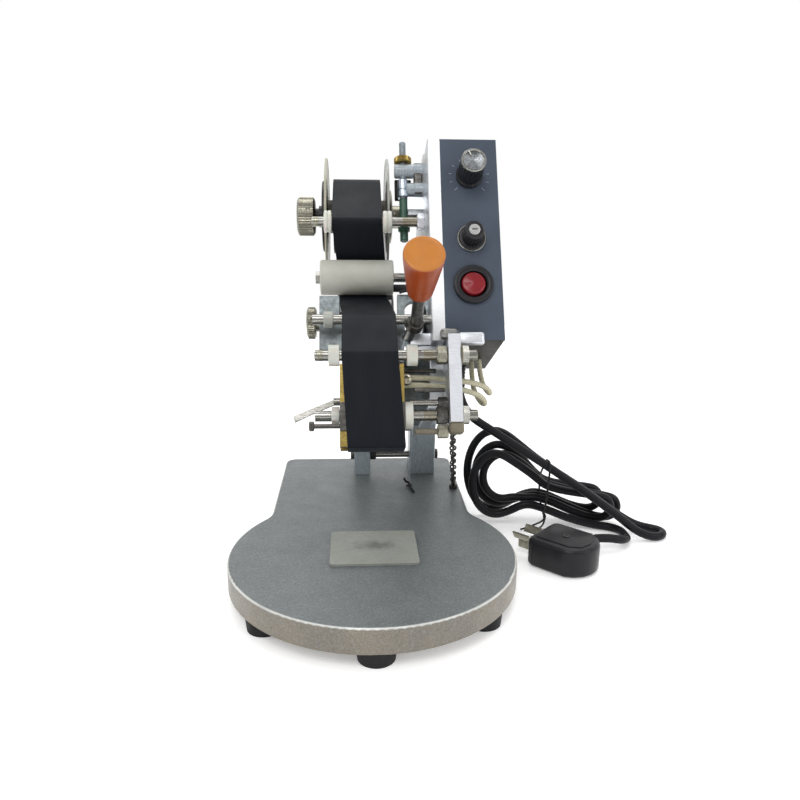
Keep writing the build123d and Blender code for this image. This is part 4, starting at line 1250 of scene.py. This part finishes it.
def ribbon_path(guides, middles):
    """(back, up, middle x) along the film, arcs included; middles has its x at each guide."""
    runs = [tangent(guides[i], guides[i + 1]) for i in range(len(guides) - 1)]
    path = []
    for i, (start, end) in enumerate(runs):
        for k in range(11):
            share = k / 10
            path.append(tuple(a + (b - a) * share for a,
                              b in zip((*start, middles[i]), (*end, middles[i + 1]))))
        if i + 1 < len(runs):
            b, u, r, _ = guides[i + 1]
            first = math.atan2(end[1] - u, end[0] - b)
            last = math.atan2(runs[i + 1][0][1] - u, runs[i + 1][0][0] - b)
            turn = (last - first + math.pi) % (2 * math.pi) - math.pi
            for k in range(1, 8):
                angle = first + turn * k / 8
                path.append((b + r * math.cos(angle), u + r * math.sin(angle), middles[i + 1]))
    return path


def ribbon(name, guides, middles, width, node, ripple):
    """Film strip along the guides, moving sideways a little, with faint tension waves."""
    path = ribbon_path(guides, middles)
    half_t, columns = 0.16, 16
    top, low = [], []
    for i, (b, u, middle) in enumerate(path):
        share = i / (len(path) - 1)
        before, after = path[max(i - 1, 0)], path[min(i + 1, len(path) - 1)]
        db, du = after[0] - before[0], after[1] - before[1]
        size = math.hypot(db, du)
        nb, nu = du / size, -db / size
        for c in range(columns + 1):
            x = middle + width * (c / columns - 0.5)
            wave = ripple * math.sin(math.pi * 5 * c / columns + 3 * share) * math.sin(math.pi * share) ** 2
            for side, rows in ((1, top), (-1, low)):
                rows.append(head(x, b + nb * (wave + side * half_t), u + nu * (wave + side * half_t)))
    n, m = len(path), columns + 1
    verts, faces = top + low, []
    for i in range(n - 1):
        for c in range(columns):
            a = i * m + c
            faces.append((a, a + 1, a + m + 1, a + m))
            faces.append((a + n * m, a + m + n * m, a + m + 1 + n * m, a + 1 + n * m))
        for a, b in ((i * m, (i + 1) * m), (i * m + columns, (i + 1) * m + columns)):
            faces.append((a, b, b + n * m, a + n * m))
    for row in (0, n - 1):
        for c in range(columns):
            a = row * m + c
            faces.append((a, a + 1, a + 1 + n * m, a + n * m))
    return finish_mesh(make_mesh(name, verts, faces), "ribbon_film", "head", (node,), 60)


roll_r = radius_of("upper_roll")
lower_roll_r = radius_of("lower_roll")
FEED_R = 13.0
TYPE_LOW = -44.6
RIBBON_W = 36.8
reel_x = sum(x_span("upper_roll")) / 2
ribbon_x = sum(x_span("lower_roll")) / 2
feed_x = reel_x * 0.55 + ribbon_x * 0.45
SKIN = 0.25
nip = (*feed_at, FEED_R + 0.35, -1)
ribbon("ribbon_run_upper", [(*upper_reel, roll_r + SKIN + 0.3, 1), (*guide_upper, ROD_R + SKIN, 1), nip],
       (reel_x, reel_x, feed_x), RIBBON_W, "ribbon_upper", 0.10)
ribbon("ribbon_run_lower", [nip, (*guide_middle, ROD_R + SKIN, 1), (*guide_front, ROD_R + SKIN, 1),
                            (-153.6, TYPE_LOW + 0.8, 1.2 + SKIN, 1), (-134.2, TYPE_LOW + 0.8, 1.2 + SKIN, 1),
                            (*lower_reel, lower_roll_r + SKIN + 0.3, -1)],
       (feed_x, ribbon_x, ribbon_x, 2.2, 2.2, ribbon_x), RIBBON_W, "ribbon_lower", 0.10)

# ------------------------------------------------------------------ tension adjuster
def on_rod(up):
    return head(adjust[0], adjust[1], up)


for number, (up, left) in enumerate(((173.2, 19.5), (157.8, 28.0))):
    lathe(f"adjuster_boss_{number}", [(left, 0), (left, 4.6), (left + 0.7, 5.3), (plate_left - 6.2, 5.3),
                                      (plate_left - 6.0, 5.9),
                                      (plate_left + 0.2, 5.9), (plate_left + 0.2, 0)],
          head(0, adjust[1], up), RIGHT, "cast_aluminium", "head", 48,
          stands_for=("adjuster_bracket",) if number == 0 else ())
thread("adjuster_screw", on_rod(147), UP, 50, 2.5, "cast_aluminium")
lathe("adjuster_sleeve", [(0, 2.2), (0, 3.0), *[(0.6 + i * 0.9, 3.3 - 0.35 * (i % 2)) for i in range(19)],
                          (17.6, 2.2)],
      on_rod(133), UP, "green_sleeve", "head", 32, None, None, True, ("adjuster_rod",), smooth=50)
lathe("adjuster_foot", [(0, 0), (0, 2.4), (0.5, 3.0), (8, 3.0), (8.4, 4.4), (11.6, 4.4), (12.2, 3.0),
                        (13, 0)],
      on_rod(116.5), UP, "green_sleeve", "head", 32)
lathe("adjuster_barrel", [(0, 2.6), (0, 3.9), (0.5, 4.4), (5.0, 4.4), (5.4, 3.9), (6.0, 3.9), (6.4, 4.4),
                          (13.5, 4.4), (14.2, 3.8),
                          (14.2, 2.6)],
      on_rod(151.2), UP, "blue_zinc", "head", 48, None, None, True)
nut_profile = [(0, 2.55), (0, 5.4), (0.6, 6.2), *run(0.7, 4.3, 6.3), (4.4, 6.2), (5.0, 5.4), (5.0, 2.55)]
lathe("adjuster_wheel", nut_profile, on_rod(179.2), UP, "brass", "tension_nut", 168,
      knurl(28, 0.3, 0.6, 4.4), None, True,
      ("adjuster_nut",), 25)

# ------------------------------------------------------------------ screws and spring
lock_left, lock_right = x_span("lock_screw")
lock = axis_place("lock_screw")
lathe("lock_screw_head", [(lock_left + 0.8, 0), (lock_left + 0.8, 1.0), (lock_left, 1.3), (lock_left, 2.5),
                          *run(lock_left + 0.4,
      lock_left + 2.8, 3.0), (lock_left + 3.2, 2.5), (lock_left + 3.2, 1.5), (lock_right, 1.5),
                          (lock_right, 0)],
      head(0, *lock), RIGHT, "dark_steel", "clamp_screw", 96,
      knurl(16, 0.22, lock_left + 0.3, lock_left + 3), UP, False,
      ("lock_screw",), 25)
coil = []
pivot_at = Vector((0, pivot.y, pivot.z))
spring_left, spring_right = x_span("return_spring")
SPRING_STEPS = 4 * 12
for k in range(SPRING_STEPS + 1):
    angle = 2 * math.pi * k / 12
    x = spring_left + 1.2 + (spring_right - spring_left - 2.4) * k / SPRING_STEPS
    coil.append(pivot_at + Vector((x * MM, 7.7 * MM * math.cos(angle), 7.7 * MM * math.sin(angle))))
coil.insert(0, coil[0] + Vector((0, 0, -0.009)))
coil.append(coil[-1] + Vector((0, -0.001, 0.006)))
wire("spring_coil", coil, 1.05, "dark_steel", "base", stands_for=("return_spring",))
tie_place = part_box("tie_rod")
tie_centre = (tie_place[0] + tie_place[1]) / 2
lathe("tie_screw", [(0, 2.9), (0, 4.2), (0.5, 4.6), (4.6, 4.6), (5.0, 4.2), (5.0, 2.9)],
      Vector((tie_place[0].x, tie_centre.y, tie_centre.z)), RIGHT, "black_plastic", "base", 40, None, None,
      True)
for name, x, axis in (("tie_bolt_left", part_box("post_left")[0].x, -RIGHT),
                      ("tie_bolt_right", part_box("post_right")[1].x, RIGHT)):
    cap_screw(name, Vector((x, tie_centre.y, tie_centre.z)), axis, 4.2, 3.0, "dark_steel", "base")

# ------------------------------------------------------------------ leads
LEAD_R = 1.9
lead_front = [(heater_right, -140, 3), (37, -140, 3), (52.5, -130, 3.4), (67, -129, 2.6), (79, -124, 0),
              (84, -113, -2.5),
              (83, -101, 2), (80, -95, 13), (79.5, -94, 27.2)]
lead_back = [(heater_right, -140, -2), (37.5, -140, -2), (53.5, -130, -1.8), (66, -127.5, -3.5),
             (76, -121, -6),
             (80.5, -111, -9.5), (79, -98, -6), (75.5, -90.5, 5), (75, -88, 16), (75, -88, 27.2)]
for name, route in (("lead_front", lead_front), ("lead_back", lead_back)):
    lead, lead_line = wire(name + "_sleeve", [head(*place) for place in route], LEAD_R, "lead_sleeve",
                           "head", stands_for=(name,))

# ------------------------------------------------------------------ feed chain and base wire
chain_low, chain_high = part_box("chain")
anchor_low, anchor_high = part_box("chain_anchor")
foot = Vector(((anchor_low.x + anchor_high.x) / 2, (anchor_low.y + anchor_high.y) / 2, anchor_high.z))
chain_end = Vector((54.0 * MM, chain_low.y + 2.4 * MM, chain_high.z))


def chain_link(name, centre, along_dir, wide, length, width, radius):
    """Oval link of round wire."""
    outline = []
    straight = length / 2 - width / 2
    for k in range(16):
        angle = 2 * math.pi * k / 16
        lift = straight if math.sin(angle) >= 0 else -straight
        point = centre + along_dir * ((lift + math.sin(angle) * width / 2) * MM)
        outline.append(point + wide * (math.cos(angle) * width / 2 * MM))
    return wire(name, outline, radius, "dark_steel", closed=True, rings=2)[0]


def make_chain():
    along_dir = (chain_end - foot).normalized()
    side = along_dir.cross(RIGHT).normalized()
    other = along_dir.cross(side)
    pitch = 6.3
    count = int((chain_end - foot).length / MM / pitch)
    links = []
    for k in range(count + 1):
        angle = math.radians(90 * k + 14 * k)
        wide = side * math.cos(angle) + other * math.sin(angle)
        centre = foot + (chain_end - foot) * (k / count)
        links.append(chain_link(f"link_{k}", centre, along_dir, wide, 8.2, 4.2, 0.62))
    chain = join("feed_chain", links, "base", ("chain",))
    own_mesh(chain)


make_chain()
eye_angles = [2 * math.pi * k / 12 for k in range(12)]
eye = [foot + Vector((0, math.cos(a) * 3.0, math.sin(a) * 3.0)) * MM for a in eye_angles]
wire("chain_eye", eye, 0.9, "dark_steel", "base", closed=True)

hook_at = Vector((32.4 * MM, disc_centre.y + 119 * MM, top_z))
arm_at = head(33.0, -50, -9.2)
pull, _ = wire("pull_wire", [hook_at + Vector((0, 0, 1)) * MM, hook_at + Vector((0.6, 0, 20)) * MM,
                             arm_at - Vector((0, -2, 14)) * MM, arm_at], 0.55, "cast_aluminium", "base")
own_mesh(pull)
hook_shape = ((-4.0, 0.0, 6.5), (-3.2, 0.0, 3.6), (-0.5, -1.0, 3.2), (0.6, -5.0, 1.6), (1.4, -12.0, 1.0),
              (2.6, -17.0, 1.0))
wire("pull_hook", [hook_at + Vector(place) * MM for place in hook_shape], 0.95, "rubber_black", "base")
lathe("pull_eye", [(0, 0), (0, 2.6), (0.6, 2.6), (1.0, 2.0), (1.0, 0)], hook_at, UPRIGHT, "dark_steel",
      "base", 32)
